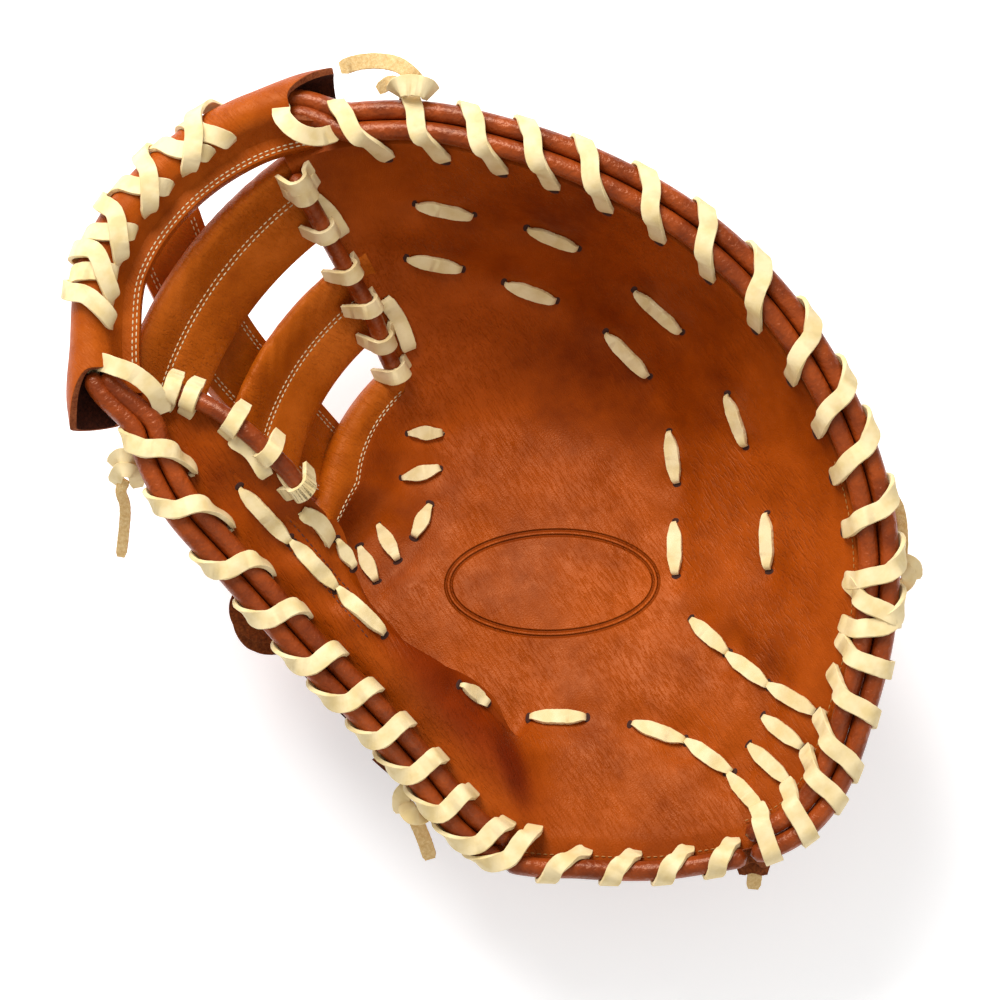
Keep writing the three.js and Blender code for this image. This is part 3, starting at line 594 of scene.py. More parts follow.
# Painted shade darkens the pocket, redder, on its upper wall towards the web, along the
# inside of the thumb's fold and in the fold's crease at the heel. A plain oval of two grooves
# is pressed into its lower half.
PAINTED_SHADE_SPOTS = [
    # x, y in the photo, half length, half width, turn in the picture, strength, tone
    (560, 300, 105, 105, 0, 0.2, "E0A888"),
    (455, 700, 62, 15, -50, 0.8, "C89070"),
    (512, 765, 24, 7, -72, 0.8, "B07858"),
]
OVAL_PIXEL = (552, 583)
OVAL_HALF_LENGTH = 36.2
OVAL_HALF_WIDTH = 18.4
GROOVE_OFFSET = 0.95
GROOVE_WIDTH = 0.75
GROOVE_DARKNESS = 0.58
tree = palm_hide.node_tree
shader = tree.nodes["Principled BSDF"]
place = object_place(tree)
tint, grain_normal = (shader.inputs[name].links[0].from_socket for name in ("Base Color", "Normal"))
# Each spot multiplies painted shade into the leather's colour.
for x, y, half_length, half_width, spot_turn, strength, tone in PAINTED_SHADE_SPOTS:
    size = (half_length / 1000, half_width / 1000, half_length / 1000)
    spot = placed(tree, place, (0, 0, turn + math.radians(spot_turn)), size, in_frame(on_palm(x, y)[0]))
    shade = ranged(tree, length_of(tree, spot), 0.2, 1, strength, 0, "SMOOTHSTEP")
    tint = mixed(tree, shade, tint, linear(tone), "MULTIPLY")
size = (OVAL_HALF_LENGTH / 1000, OVAL_HALF_WIDTH / 1000, 100)
oval_place = placed(tree, place, (0, 0, turn), size, in_frame(on_palm(*OVAL_PIXEL)[0]))
oval_way = length_of(tree, oval_place)
steepness = add_node(tree, "VectorMath", {0: oval_place, 1: (1 / OVAL_HALF_LENGTH, 1 / OVAL_HALF_WIDTH, 0)},
                     operation="MULTIPLY")
beyond = worked_out(tree, "MULTIPLY", worked_out(tree, "SUBTRACT", oval_way, 1), oval_way)
from_line = worked_out(tree, "DIVIDE", beyond, length_of(tree, steepness.outputs[0]))
off_middle = worked_out(tree, "SUBTRACT", worked_out(tree, "ABSOLUTE", from_line), GROOVE_OFFSET)
groove = ranged(tree, worked_out(tree, "ABSOLUTE", off_middle), 0, GROOVE_WIDTH, 1, 0, "SMOOTHSTEP")
sunk = add_node(tree, "Bump", {"Height": groove, "Normal": grain_normal, "Strength": 0.9,
                               "Distance": 0.0012}, invert=True)
dark_groove = worked_out(tree, "MULTIPLY", groove, GROOVE_DARKNESS)
set_inputs(shader, {"Base Color": mixed(tree, dark_groove, tint, linear("742A08")),
                    "Normal": sunk.outputs[0]})
finish_piece(palm, palm_hide, "palm_leather", "palm")

# The backs of the fingers and of the thumb: the same cowhide, a little thinner, sewn to
# the palm along the rim and closed up beside the web like the side of an envelope.
BACK_FOOT = 0.58
FINGER_BACK_CURVE = 2.1
THUMB_BACK_CURVE = 1.6
FINGER_BACK_START = -62
FINGER_BACK_END = 84
THUMB_BACK_END = 237
SIDE_WALL_ANGLE = 13
SIDE_WALL_SETBACK = 4.5
BACK_INNER = 0.3


def back_point(share, angle, curve):
    top = rim_point(angle, ROLL_DIAMETER / 2 - BACK_LEATHER / 2)
    rise = np.maximum(0, (share - BACK_FOOT) / (1 - BACK_FOOT)) ** curve
    return top * np.stack((share, share, rise), -1)


def finger_side(share):
    return value_at(FINGER_EDGE, 1, share) - SIDE_WALL_SETBACK


def thumb_side(share):
    return value_at(THUMB_EDGE, 1, share) + SIDE_WALL_SETBACK


def back_surface(start, end, curve, closing):
    """A back between two angles, closed up to the palm where it comes near one of them."""
    def place(u, v):
        share = mix(BACK_INNER, 1, u)
        angle = mix(start(share), end(share), v)
        point = back_point(share, angle, curve)
        side = 1 - np.abs(angle - closing(share)) / SIDE_WALL_ANGLE
        palm_above = palm_point(np.maximum(OPENING_BOTTOM, share), angle)
        point[:, 2] = mix(point[:, 2], palm_above[:, 2] - PALM_LEATHER - CLEARANCE, ease(side))
        return point
    return place


def kept_under_palm(piece):
    """Lowers what would come up through the palm to just under its leather."""
    for vertex in piece.data.vertices:
        start = Vector((vertex.co.x, vertex.co.y, -0.01))
        hit = palm_tree.ray_cast(start, Vector((0, 0, 1)))[0]
        if hit is not None:
            vertex.co.z = min(vertex.co.z, max(0.0002, hit.z - (PALM_LEATHER + CLEARANCE) / 1000))


for node, columns, start, end, curve, side in (
        ("finger_back", 150, lambda share: FINGER_BACK_START, finger_side, FINGER_BACK_CURVE, finger_side),
        ("thumb_back", 100, thumb_side, lambda share: THUMB_BACK_END, THUMB_BACK_CURVE, thumb_side)):
    piece = grid_piece(node + "_leather", 60, columns, back_surface(start, end, curve, side))
    kept_under_palm(piece)
    leather_wall(piece, BACK_LEATHER, -1)
    finish_piece(piece, saddle_leather, "palm_leather", node)

# The rim's rolls: welts of dark waxed leather rolled round a cord, two side by side along
# the fingers and the thumb and one at the heel. The two pairs run on into the mouths of
# the web's top band.
ROLL_LIFT = ROLL_DIAMETER / 2 + 2 * CLEARANCE
OUTER_INSET = ROLL_DIAMETER / 2
INNER_INSET = OUTER_INSET + ROLL_DIAMETER + CLEARANCE
FINGER_ROLL_END = 90
THUMB_ROLL_END = -227
ROLLS = [
    # node, first and last angle, inset, inset where it ends in the top band's mouth
    ("finger_roll_outer", FINGER_ROLL_END, -91.7, OUTER_INSET, -6.5),
    ("finger_roll_inner", FINGER_ROLL_END, -91.7, INNER_INSET, -1.0),
    ("heel_roll", -92, -126, OUTER_INSET, OUTER_INSET),
    ("thumb_roll_outer", -126.3, THUMB_ROLL_END, OUTER_INSET, -8.0),
    ("thumb_roll_inner", -126.3, THUMB_ROLL_END, INNER_INSET, -2.5),
]
INTO_MOUTH = 9.0
END_ROUNDING = 4.0


def frames_along(points):
    """The side and the up of a path at each of its points."""
    along = unit(np.gradient(points, axis=0))
    side = unit(np.cross(along, np.array([0.0, 0.0, 1.0])))
    return side, np.cross(side, along)


def lengths_along(points):
    return np.concatenate(([0], np.cumsum(np.linalg.norm(np.diff(points, axis=0), axis=1))))


def line_at(length, lengths, values):
    """The values of a line's points at a length along it."""
    return np.stack([np.interp(length, lengths, values[:, c]) for c in range(3)], -1)


def swept_piece(name, path, steps, sides, section_at):
    """A closed solid swept along a path: section_at gives its outline's two offsets."""
    points = path(np.linspace(0, 1, steps + 1))
    side, up = frames_along(points)
    lengths = lengths_along(points)

    def place(u, v):
        k = np.rint(u * steps).astype(int)
        a, b = section_at(lengths[k], lengths[-1], v)
        return points[k] + side[k] * a[:, None] + up[k] * b[:, None]
    piece = grid_piece(name, steps, sides, place)
    edit(piece, bpy.ops.mesh.normals_make_consistent, inside=False)
    bpy.ops.object.shade_smooth()
    return piece


def round_section(radius, rounding):
    """A round outline whose ends close in a soft nose."""
    def section_at(length, whole, v):
        near = np.minimum(length, whole - length)
        nose = np.sqrt(np.clip(1 - (1 - np.minimum(1, near / rounding)) ** 2, 0, 1))
        turned = v * 2 * math.pi
        return radius * nose * np.cos(turned), radius * nose * np.sin(turned)
    return section_at


def waxed_leather(name, light, dark, roughness):
    """Thin dark leather, waxed and burnished as it was rolled: glossy, with a fine pebble
    and short cross wrinkles that break up its highlights."""
    return two_tone(name, (0.35, dark), (0.68, light), (90, 5), (520, 3, 0.5, 0.8, 0.8),
                    {"Roughness": roughness, "Specular Tint": linear("FFC8A0"), "Coat Weight": 0.1,
                     "Coat Roughness": 0.22})


roll_leather = waxed_leather("waxed_roll_leather", "9C4212", "6E2808", 0.33)
for node, start, end, inset, mouth_inset in ROLLS:
    def roll_path(t):
        angle = mix(start, end, t)
        to_end = np.minimum(np.abs(angle - FINGER_ROLL_END), np.abs(angle - THUMB_ROLL_END))
        return rim_point(angle, mix(inset, mouth_inset, ease(1 - to_end / INTO_MOUTH)), ROLL_LIFT)
    roll = swept_piece(node + "_leather", roll_path, int(abs(end - start) * 1.6), 20,
                       round_section(ROLL_DIAMETER / 2, END_ROUNDING))
    finish_piece(roll, roll_leather, "welt_leather", node)

# The thinner welts on the palm's two edges beside the web, of the same waxed leather,
# pressed a little fuller than their cords by the laces that hold them.
WELT_FULLNESS = 0.5


def welt_line(edge, share):
    """The welt's middle along one of the palm's edges."""
    point = palm_point(share, value_at(edge, 1, share))
    point[:, 2] += WEB_WELT_DIAMETER / 2 + 2 * CLEARANCE
    return point


for node, edge, start, end in (("finger_edge_welt", FINGER_EDGE, 0.47, 0.93),
                               ("thumb_edge_welt", THUMB_EDGE, 0.66, 0.93)):
    welt = swept_piece(node + "_leather", lambda t: welt_line(edge, mix(start, end, t)), 70, 16,
                       round_section(WEB_WELT_DIAMETER / 2 + WELT_FULLNESS, END_ROUNDING))
    finish_piece(welt, roll_leather, "welt_leather", node)

# The web: two wide strips and a lowest panel of tan leather, each folded over a pad along
# its outer half and sewn down by a double row of stitches, their ends laced to the palm.
LOOP_THICKNESS = 4.6
WEB_SAG = 5.0
WEB_TUCK = 8.0
WEB_DROP = PALM_LEATHER + 1.5
THUMB_RISE_CURVE = 0.8
PANEL_INNER = 51
PANEL_OUTER = 69
PANEL_SPREAD = 4
PANEL_LEVEL = 0.5
INNER_LOOP = (78, 103)
OUTER_LOOP = (112, 139)
EDGE_SHARES = np.linspace(OPENING_BOTTOM, WALL_TOP, 101)


def edge_at(edge, reach):
    """Angle and height of the opening's edge at a distance from the pocket's centre."""
    points = palm_point(EDGE_SHARES, value_at(edge, 1, EDGE_SHARES))
    reaches = np.maximum.accumulate(np.hypot(points[:, 0], points[:, 1]))
    share = np.interp(reach, reaches, EDGE_SHARES)
    return value_at(edge, 1, share), np.interp(reach, reaches, points[:, 2])


def web_span(reach):
    """The web's two end angles at a distance, tucked under the palm's edges."""
    tuck = np.degrees(WEB_TUCK / reach)
    return edge_at(FINGER_EDGE, reach)[0] - tuck, edge_at(THUMB_EDGE, reach)[0] + tuck


def web_height(reach, share):
    """The web's height from the fingers' side, 0, to the thumb's, 1."""
    low = pocket_floor(0.0)
    tip = RIM_HEIGHT * section(HEIGHT, THUMB_EDGE[-1, 1])
    way = np.maximum(0, (reach - PANEL_INNER) / (OUTER_LOOP[1] - PANEL_INNER))
    thumb = mix(low, tip, way ** THUMB_RISE_CURVE)
    finger = edge_at(FINGER_EDGE, reach)[1]
    return mix(finger, thumb, ease(share)) - WEB_DROP - WEB_SAG * 4 * share * (1 - share)


# share across the strip from its inner to its outer edge, lift in millimetres
STRIP_FORM = np.array([
    [0.00, -0.4], [0.08, 0.5], [0.25, 1.0], [0.44, 1.1], [0.50, 0.4], [0.56, 1.4],
    [0.70, 3.6], [0.84, 3.9], [0.94, 2.4], [1.00, -0.4],
])
WRINKLE_HEIGHT = 0.55
WRINKLE_SPACING = 3.4
WRINKLE_LENGTH = 16.0


def strip_surface(inner, outer):
    def place(u, v):
        reach = mix(inner, outer, u)
        start, end = web_span(reach)
        point = polar(mix(start, end, v), reach, web_height(reach, v))
        arc = np.radians(mix(start, end, v)) * reach
        wrinkle = relief(np.stack((arc / WRINKLE_SPACING, reach / WRINKLE_LENGTH, 0 * arc), -1), 1, inner)
        point[:, 2] += value_at(STRIP_FORM, 1, u) + WRINKLE_HEIGHT * wrinkle * ease((u - 0.5) / 0.2)
        return point
    return place


def panel_surface(u, v):
    seam = palm_point(OPENING_BOTTOM, mix(FINGER_EDGE[0, 1], THUMB_EDGE[0, 1], v))
    start = web_span(np.full_like(v, PANEL_OUTER))[0]
    edge = polar(mix(start, THUMB_EDGE[0, 1], v), PANEL_OUTER + PANEL_SPREAD * v,
                 web_height(np.full_like(v, PANEL_OUTER), v * PANEL_LEVEL))
    point = mix(seam, edge, u[:, None])
    point[:, 2] += value_at(STRIP_FORM, 1, 0.5 + u / 2) - 1
    return point


web_leather = tan_leather("creased_web_cowhide", "C6641A", "AA5008", "863602", 0.43, 25)
for name, node, rows, columns, surface in (
        ("web_outer_strip", "web_outer_loop", 24, 120, strip_surface(*OUTER_LOOP)),
        ("web_inner_strip", "web_inner_loop", 24, 110, strip_surface(*INNER_LOOP)),
        ("web_lowest_strip", "web_panel", 20, 80, panel_surface)):
    piece = grid_piece(name, rows, columns, surface)
    leather_wall(piece, LOOP_THICKNESS, 1)
    finish_piece(piece, web_leather, "web_leather", node)

# The web's top band: a wide leather rolled into a tube, its flange sewn down inside by a
# double row of stitches, open at both ends over the tips of the fingers and of the thumb.
BAND_PATH = np.array([
    [85, 1.030, 0.90], [95, 1.078, 0.93], [108, 1.108, 0.96],
    [120, 1.104, 0.97], [129, 1.058, 0.96], [138, 1.010, 0.95],
])
BAND_TUBE_DIAMETER = 15.6
BAND_LEATHER = 2.4
BAND_FLANGE = 8.0
BAND_FLANGE_THICKNESS = 5.0
BAND_MOUTH_FLARE = 0.3
MOUTH_SHARE = 0.16
FLANGE_DROP = 1.0
TUBE_HALF_TURN = 140


def band_path(t):
    angle = mix(BAND_PATH[0, 0], BAND_PATH[-1, 0], t)
    reach = RIM_REACH * value_at(BAND_PATH, 1, angle) - BAND_TUBE_DIAMETER / 2
    return polar(angle, reach, RIM_HEIGHT * value_at(BAND_PATH, 2, angle))


BAND_STEPS = 110
BAND_OUTLINE_POINTS = 44
BAND_EDGE = 0.5
MOUTH_REACH = 0.05
MOUTH_SLANT = 0.13
TUBE_SHARE = 0.8
band_way = np.linspace(0, 1, BAND_STEPS + 1)
band_points = band_path(band_way)
band_side, band_up = frames_along(band_points)
if band_side[BAND_STEPS // 2] @ band_points[BAND_STEPS // 2] < 0:
    band_side = -band_side


def tube_radius(t):
    """The tube's radius, wider towards the mouths."""
    mouth = 1 - ease(np.minimum(t, 1 - t) / MOUTH_SHARE)
    return BAND_TUBE_DIAMETER / 2 * (1 + BAND_MOUTH_FLARE * mouth)


def band_frame(t):
    """The band's centre line, its side away from the pocket and its up at a share of it."""
    t = np.atleast_1d(np.asarray(t, float))
    inside = np.clip(t, 0, 1)
    centre, side, up = (line_at(inside, band_way, line) for line in (band_points, band_side, band_up))
    ahead = np.where((t < 0.5)[:, None], band_points[1] - band_points[0], band_points[-1] - band_points[-2])
    return centre + ahead * ((t - inside) * BAND_STEPS)[:, None], side, up


def band_surface(u, v):
    """The outline goes first round the tube, then out along the flange's upper side and
    back along its lower one. The mouths are cut aslant, further back on top."""
    on_flange = v > TUBE_SHARE
    turned = np.radians(mix(-TUBE_HALF_TURN, TUBE_HALF_TURN, np.clip(v / TUBE_SHARE, 0, 1)))
    on_top = np.where(on_flange, 0.5, ease((np.sin(turned - 0.5) + 0.5) / 1.4))
    start = MOUTH_SLANT * on_top - MOUTH_REACH
    t = mix(start, 1 - start, u)
    radius = tube_radius(np.clip(t, 0, 1))
    root = math.radians(TUBE_HALF_TURN)
    flange = np.clip((v - TUBE_SHARE) / (1 - TUBE_SHARE), 0, 1)
    half = np.abs(flange - 0.5) * 2
    upper = np.where(flange < 0.5, 1.0, -1.0)
    middle = -FLANGE_DROP - BAND_FLANGE_THICKNESS / 2
    flange_out = mix(-BAND_TUBE_DIAMETER / 2 - BAND_FLANGE, radius * math.cos(root), ease(half))
    flange_rise = mix(middle + upper * BAND_FLANGE_THICKNESS / 2, upper * radius * math.sin(root),
                      ease((half - 0.55) / 0.45))
    flange_rise = mix(middle, flange_rise, np.clip(half / 0.12, 0, 1))
    out = np.where(on_flange, flange_out, radius * np.cos(turned))
    rise = np.where(on_flange, flange_rise, radius * np.sin(turned))
    centre, side, up = band_frame(t)
    return centre + side * out[:, None] + up * rise[:, None]


def suede(name, light, dark):
    """The flesh side of the hide and its raw cut edges: napped, matt and darker; inside the top band its
    near-black is painted shade.
    """
    return two_tone(name, (0.35, dark), (0.65, light), (850, 5, 0.75), (850, 5, 0.75, 0.8, 0.6),
                    {"Roughness": 0.95, "Specular IOR Level": 0.15})


# The top band's inside, seen through its mouths, is near black: painted shade inside the rolled tube, on a
# napped flesh side.
painted_shade_suede = suede("band_inside_painted_shade", "4A2012", "26100A")
raw_edge = suede("raw_leather_edge", "9A5630", "6A2E16")
band = grid_piece("web_top_band_leather", BAND_STEPS, BAND_OUTLINE_POINTS, band_surface)
for material in (saddle_leather, painted_shade_suede, raw_edge):
    band.data.materials.append(material)
edit(band, bpy.ops.mesh.normals_make_consistent, inside=False)
if max(band.data.polygons, key=lambda p: p.center.z).normal.z < 0:
    edit(band, bpy.ops.mesh.flip_normals)
apply_modifier(band, "SOLIDIFY", thickness=BAND_LEATHER / 1000, offset=-1, material_offset=1,
               material_offset_rim=2)
soften_edges(band, BAND_EDGE)
finish_piece(band, None, "web_leather", "web_top_band")

# The web's spine: one wide strap behind the strips, from the top band to the crotch.
SPINE_PATH = np.array([[0.364, 139], [0.552, 128], [0.773, 120], [1.027, 110]])
SPINE_WIDTH = 26.0
SPINE_THICKNESS = 4.0
SPINE_DROP = LOOP_THICKNESS + 2.9


def spine_place(t):
    share = mix(SPINE_PATH[0, 0], SPINE_PATH[-1, 0], t)
    return polar(value_at(SPINE_PATH, 1, share), share * RIM_REACH)


def spine_surface(u, v):
    along = unit(spine_place(u + 0.01) - spine_place(u - 0.01))
    side = ((v - 0.5) * SPINE_WIDTH)[:, None]
    point = spine_place(u) + np.stack((-along[:, 1], along[:, 0], 0 * u), -1) * side
    reach = np.hypot(point[:, 0], point[:, 1])
    angle = np.degrees(np.arctan2(point[:, 1], point[:, 0]))
    level = np.minimum(reach, OUTER_LOOP[1] - 2)
    start, end = web_span(level)
    point[:, 2] = web_height(level, np.clip((angle - start) / (end - start), 0, 1)) - SPINE_DROP
    return point


spine = grid_piece("web_spine_leather", 70, 18, spine_surface)
leather_wall(spine, SPINE_THICKNESS, 1)
finish_piece(spine, web_leather, "web_leather", "web_spine")

# The wrist strap: dark brown latigo across the back under the heel, its keeper and the
# small loop on its edge.
dull_strap = waxed_leather("dull_latigo_strap", "6E2C10", "481A08", 0.62)
set_inputs(dull_strap.node_tree.nodes["Principled BSDF"], {"Coat Weight": 0.0, "Specular IOR Level": 0.2})
for node in ("wrist_strap", "strap_keeper", "pull_loop"):
    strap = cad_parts[node]
    strap.data.materials.clear()
    strap.data.materials.append(dull_strap)

# The laces: flat thongs cut from one cream rawhide, smooth on the face and fibrous along
# the two cut edges. One blank is modelled straight, and each strand is a copy laid along
# its own way. They bind the rim, hold the palm's padding and tie the web to both sides.
LACE_WIDTH = 6.2
LACE_THICKNESS = 1.6
LACE_BEVEL = 0.16
LACE_STATIONS = 40
LACE_FRAY = 0.07
LACE_TAPER = 5.5
LACE_AIR = 0.2
LACE_LIFT = LACE_THICKNESS / 2 + LACE_AIR
HOLE_SHARE = 0.925
HEEL_HOLE_INSET = 10.0
BACK_HOLE_SHARE = 0.984
UNDER_HOLE_INSET = 10.5
DIVE = 2.2
dice = np.random.default_rng(7)


def lengthwise(piece):
    """Which of the blank's edges run from its one end to the other."""
    places = [v.co.x for v in piece.data.vertices]
    return [abs(places[e.vertices[0]] - places[e.vertices[1]]) > 0.5 for e in piece.data.edges]


deselect()
bpy.ops.mesh.primitive_cube_add(size=1, scale=(1, LACE_WIDTH / 1000, LACE_THICKNESS / 1000))
bpy.ops.object.transform_apply(scale=True)
lace_blank = bpy.context.object
edit(lace_blank, bpy.ops.mesh.bevel, lengthwise(lace_blank), "edges",
     offset=LACE_BEVEL / 1000, segments=1, affect="EDGES")
edit(lace_blank, bpy.ops.mesh.subdivide, lengthwise(lace_blank), "edges", number_cuts=LACE_STATIONS - 1)
lace_points = np.array([v.co for v in lace_blank.data.vertices])
lace_station = np.rint((lace_points[:, 0] + 0.5) * LACE_STATIONS).astype(int)
lace_across, lace_up = lace_points[:, 1] * 1000, lace_points[:, 2] * 1000
lace_at_edge = np.abs(lace_across) > LACE_WIDTH / 2 - LACE_BEVEL * 1.01
for polygon in lace_blank.data.polygons:
    polygon.material_index = int(abs(polygon.normal.y) > 0.8 or abs(polygon.normal.x) > 0.5)


def laid_lace(points, normals, ends=(0.5, 0.5), width=1.0, taper=LACE_TAPER):
    """The blank's points along chosen points in millimetres, its face to the normals, its
    ends narrowed to shares of its width."""
    points, normals = np.array(points, float), unit(np.array(normals, float))
    lengths = lengths_along(points)
    table = np.column_stack((lengths, points, normals))
    way = np.linspace(0, lengths[-1], LACE_STATIONS + 1)
    middle = np.stack([value_at(table, column, way) for column in (1, 2, 3)], -1)
    face = np.stack([value_at(table, column, way) for column in (4, 5, 6)], -1)
    along = unit(np.gradient(middle, axis=0))
    face = unit(face - along * (face * along).sum(-1, keepdims=True))
    across = np.cross(face, along)
    narrow = width * mix(ends[0], 1, ease(way / taper)) * mix(ends[1], 1, ease((lengths[-1] - way) / taper))
    fray = dice.uniform(-LACE_FRAY, LACE_FRAY, len(lace_points)) * lace_at_edge
    side = lace_across * narrow[lace_station] + fray
    k = lace_station
    return middle[k] + across[k] * side[:, None] + face[k] * lace_up[:, None]


def joined(name, blank, laid):
    """One mesh of copies of the blank, each with its own points in millimetres."""
    count = len(blank.data.vertices)
    faces = [[v + count * k for v in p.vertices] for k in range(len(laid)) for p in blank.data.polygons]
    mesh = bpy.data.meshes.new(name)
    mesh.from_pydata(in_frame(np.concatenate(laid)).tolist(), [], faces)
    mesh.polygons.foreach_set("material_index", [p.material_index for p in blank.data.polygons] * len(laid))
    mesh.polygons.foreach_set("use_smooth", [True] * len(faces))
    piece = bpy.data.objects.new(name, mesh)
    bpy.context.scene.collection.objects.link(piece)
    return piece


def rawhide(name, light, dark, roughness, pitch_mm, depth_mm):
    """Cream rawhide: dry and nearly matt, the face with a faint grain, the cut edge yellow
    and fibrous."""
    return two_tone(name, (0.36, dark), (0.62, light), (160, 4), (1000 / pitch_mm, 3, 0.5, 0.6, depth_mm),
                    {"Roughness": roughness, "Specular IOR Level": 0.3})


lace_face = rawhide("cream_rawhide_face", "EBD5A4", "DEC48A", 0.55, 1.1, 0.12)
lace_edge = rawhide("cut_rawhide_edge", "E4C47C", "CB9C50", 0.9, 0.5, 0.4)


def finish_laces(piece, face=lace_face, edge=lace_edge):
    make_active(piece)
    bpy.ops.object.shade_smooth_by_angle(angle=math.radians(38))
    finish_piece(piece, face, "lace_rawhide")
    piece.data.materials.append(edge)


# x, y in the photo's pixels where each goes under outside, over the outer roll, over the
# inner roll and into its hole, clockwise from the fingers' tips
RIM_WRAPS = [
    (334, 89, 338, 104, 357, 126, 388, 134), (409, 93, 412, 112, 421, 134, 447, 142),
    (466, 101, 469, 119, 481, 148, 506, 159), (523, 115, 526, 134, 538, 160, 559, 174),
    (580, 134, 582, 153, 594, 184, 612, 199), (642, 161, 644, 184, 653, 214, 666, 230),
    (704, 196, 701, 222, 707, 250, 718, 269), (757, 243, 754, 272, 756, 302, 764, 322),
    (808, 300, 810, 328, 804, 357, 801, 375), (845, 360, 845, 386, 835, 410, 826, 428),
    (868, 412, 868, 438, 857, 462, 842, 475), (886, 482, 882, 503, 869, 520, 856, 529),
    (893, 541, 885, 567, 868, 579, 854, 580), (883, 616, 872, 614, 854, 599, 847, 579),
    (901, 592, 888, 620, 860, 630, 838, 622), (882, 666, 868, 665, 854, 656, 844, 638),
    (868, 716, 846, 707, 833, 693, 832, 669), (847, 770, 834, 758, 821, 738, 819, 713),
    (834, 801, 822, 790, 809, 773, 806, 749), (808, 835, 800, 823, 791, 804, 790, 784),
    (774, 859, 769, 848, 765, 834, 762, 818),
    (471, 855, 495, 869, 524, 856, 535, 843), (444, 824, 472, 844, 502, 822, 509, 820),
    (417, 788, 444, 809, 470, 788, 478, 785), (387, 752, 413, 771, 438, 754, 446, 751),
    (358, 722, 382, 736, 405, 719, 413, 718), (318, 683, 344, 701, 370, 686, 380, 684),
    (285, 643, 311, 662, 334, 650, 344, 650), (246, 601, 268, 616, 291, 610, 308, 614),
    (203, 552, 222, 569, 251, 562, 269, 574), (155, 492, 176, 502, 207, 503, 230, 526),
    (124, 433, 148, 441, 173, 451, 187, 474),
]
HEEL_WRAPS = [(712, 874, 732, 838), (660, 878, 688, 848), (608, 883, 635, 850), (545, 882, 586, 850)]
RIM_ANGLES = np.arange(-221.5, 84.1, 0.25)


def nearest(points, pixel):
    """Which of the points the photo's pixel is nearest to."""
    return int(np.argmin(np.hypot(*(to_photo(points) - np.array(pixel)).T)))


OVER_ROLL = ROLL_DIAMETER / 2 + LACE_LIFT


def hole_tilt(angle):
    """The way that a lace leaves its hole in the palm under the rolls."""
    return rim_inwards(angle) * 0.85 + np.array([0, 0, 0.5])


def marks_on(lines, places, row):
    """The places on lines, one for each two numbers of a row of the photo's pixels."""
    return [places[nearest(line, row[2 * k:2 * k + 2])] for k, line in enumerate(lines)]


def wrap_over(angles, rolls, hole_inset):
    """A lace's way from its hole over the rolls and down the outside of the rim. Angles
    are the rim's at the hole, over the inner roll, over the outer roll and outside."""
    hole_angle = angles[0]
    bends = np.column_stack((np.arange(4.0), angles))
    points, normals = [], []

    def add(angle, inset, rise, inwards, up):
        points.append(rim_point(angle, inset, rise))
        normals.append(rim_inwards(angle) * inwards + np.array([0, 0, up]))
    if hole_inset is None:
        hole = palm_point(HOLE_SHARE, hole_angle)
        tilt = hole_tilt(hole_angle)
        points += [hole - tilt * DIVE, hole + tilt * LACE_LIFT * 0.6]
        normals += [tilt, tilt]
    else:
        add(hole_angle, hole_inset + 0.5, -DIVE, 0.3, 1)
        add(hole_angle, hole_inset, LACE_LIFT * 0.6, 0.3, 1)
    for inset, turn, step in rolls:
        turned = math.radians(turn)
        add(float(value_at(bends, 1, step)), inset + OVER_ROLL * math.cos(turned),
            ROLL_LIFT + OVER_ROLL * math.sin(turned), math.cos(turned), math.sin(turned))
    last = mix(angles[2], angles[3], 1.15)
    on_fingers = FINGER_BACK_START < last < FINGER_BACK_END
    on_thumb = last < THUMB_BACK_END - 361
    if on_fingers or on_thumb:
        curve = FINGER_BACK_CURVE if on_fingers else THUMB_BACK_CURVE
        outwards = -rim_inwards(last) * 0.97 + np.array([0, 0, -0.25])
        for share, lift in ((0.995, LACE_LIFT), (BACK_HOLE_SHARE, LACE_LIFT * 0.8),
                            (BACK_HOLE_SHARE - 0.006, -DIVE)):
            points.append(back_point(share, last, curve) + outwards * lift)
            normals.append(outwards)
    else:
        under = -PALM_LEATHER - LACE_LIFT
        add(last, 3.0, under * 0.7, -0.7, -0.7)
        add(last, FLANGE_INSET + 1, under, 0, -1)
        add(last, UNDER_HOLE_INSET, under * 0.9, 0.4, -1)
        add(last, UNDER_HOLE_INSET + 1, under + DIVE, 1, -0.5)
    return points, normals


# inset of the roll, turn round it from its inner side, step from the hole, 0, to outside, 3
OVER_TWO = [(INNER_INSET, 8, 0.55), (INNER_INSET, 50, 1), (INNER_INSET, 88, 1.3),
            (OUTER_INSET, 75, 1.65), (OUTER_INSET, 105, 1.95), (OUTER_INSET, 135, 2.25),
            (OUTER_INSET, 168, 2.6), (OUTER_INSET, 205, 3)]
OVER_ONE = [(OUTER_INSET, 20, 0.6), (OUTER_INSET, 55, 1), (OUTER_INSET, 90, 1.6),
            (OUTER_INSET, 135, 2), (OUTER_INSET, 180, 2.6), (OUTER_INSET, 205, 3)]


def over_roll(inset, turn):
    """The line along the rim where a lace lies on a roll at a turn round it."""
    turned = math.radians(turn)
    return rim_point(RIM_ANGLES, inset + OVER_ROLL * math.cos(turned),
                     ROLL_LIFT + OVER_ROLL * math.sin(turned))


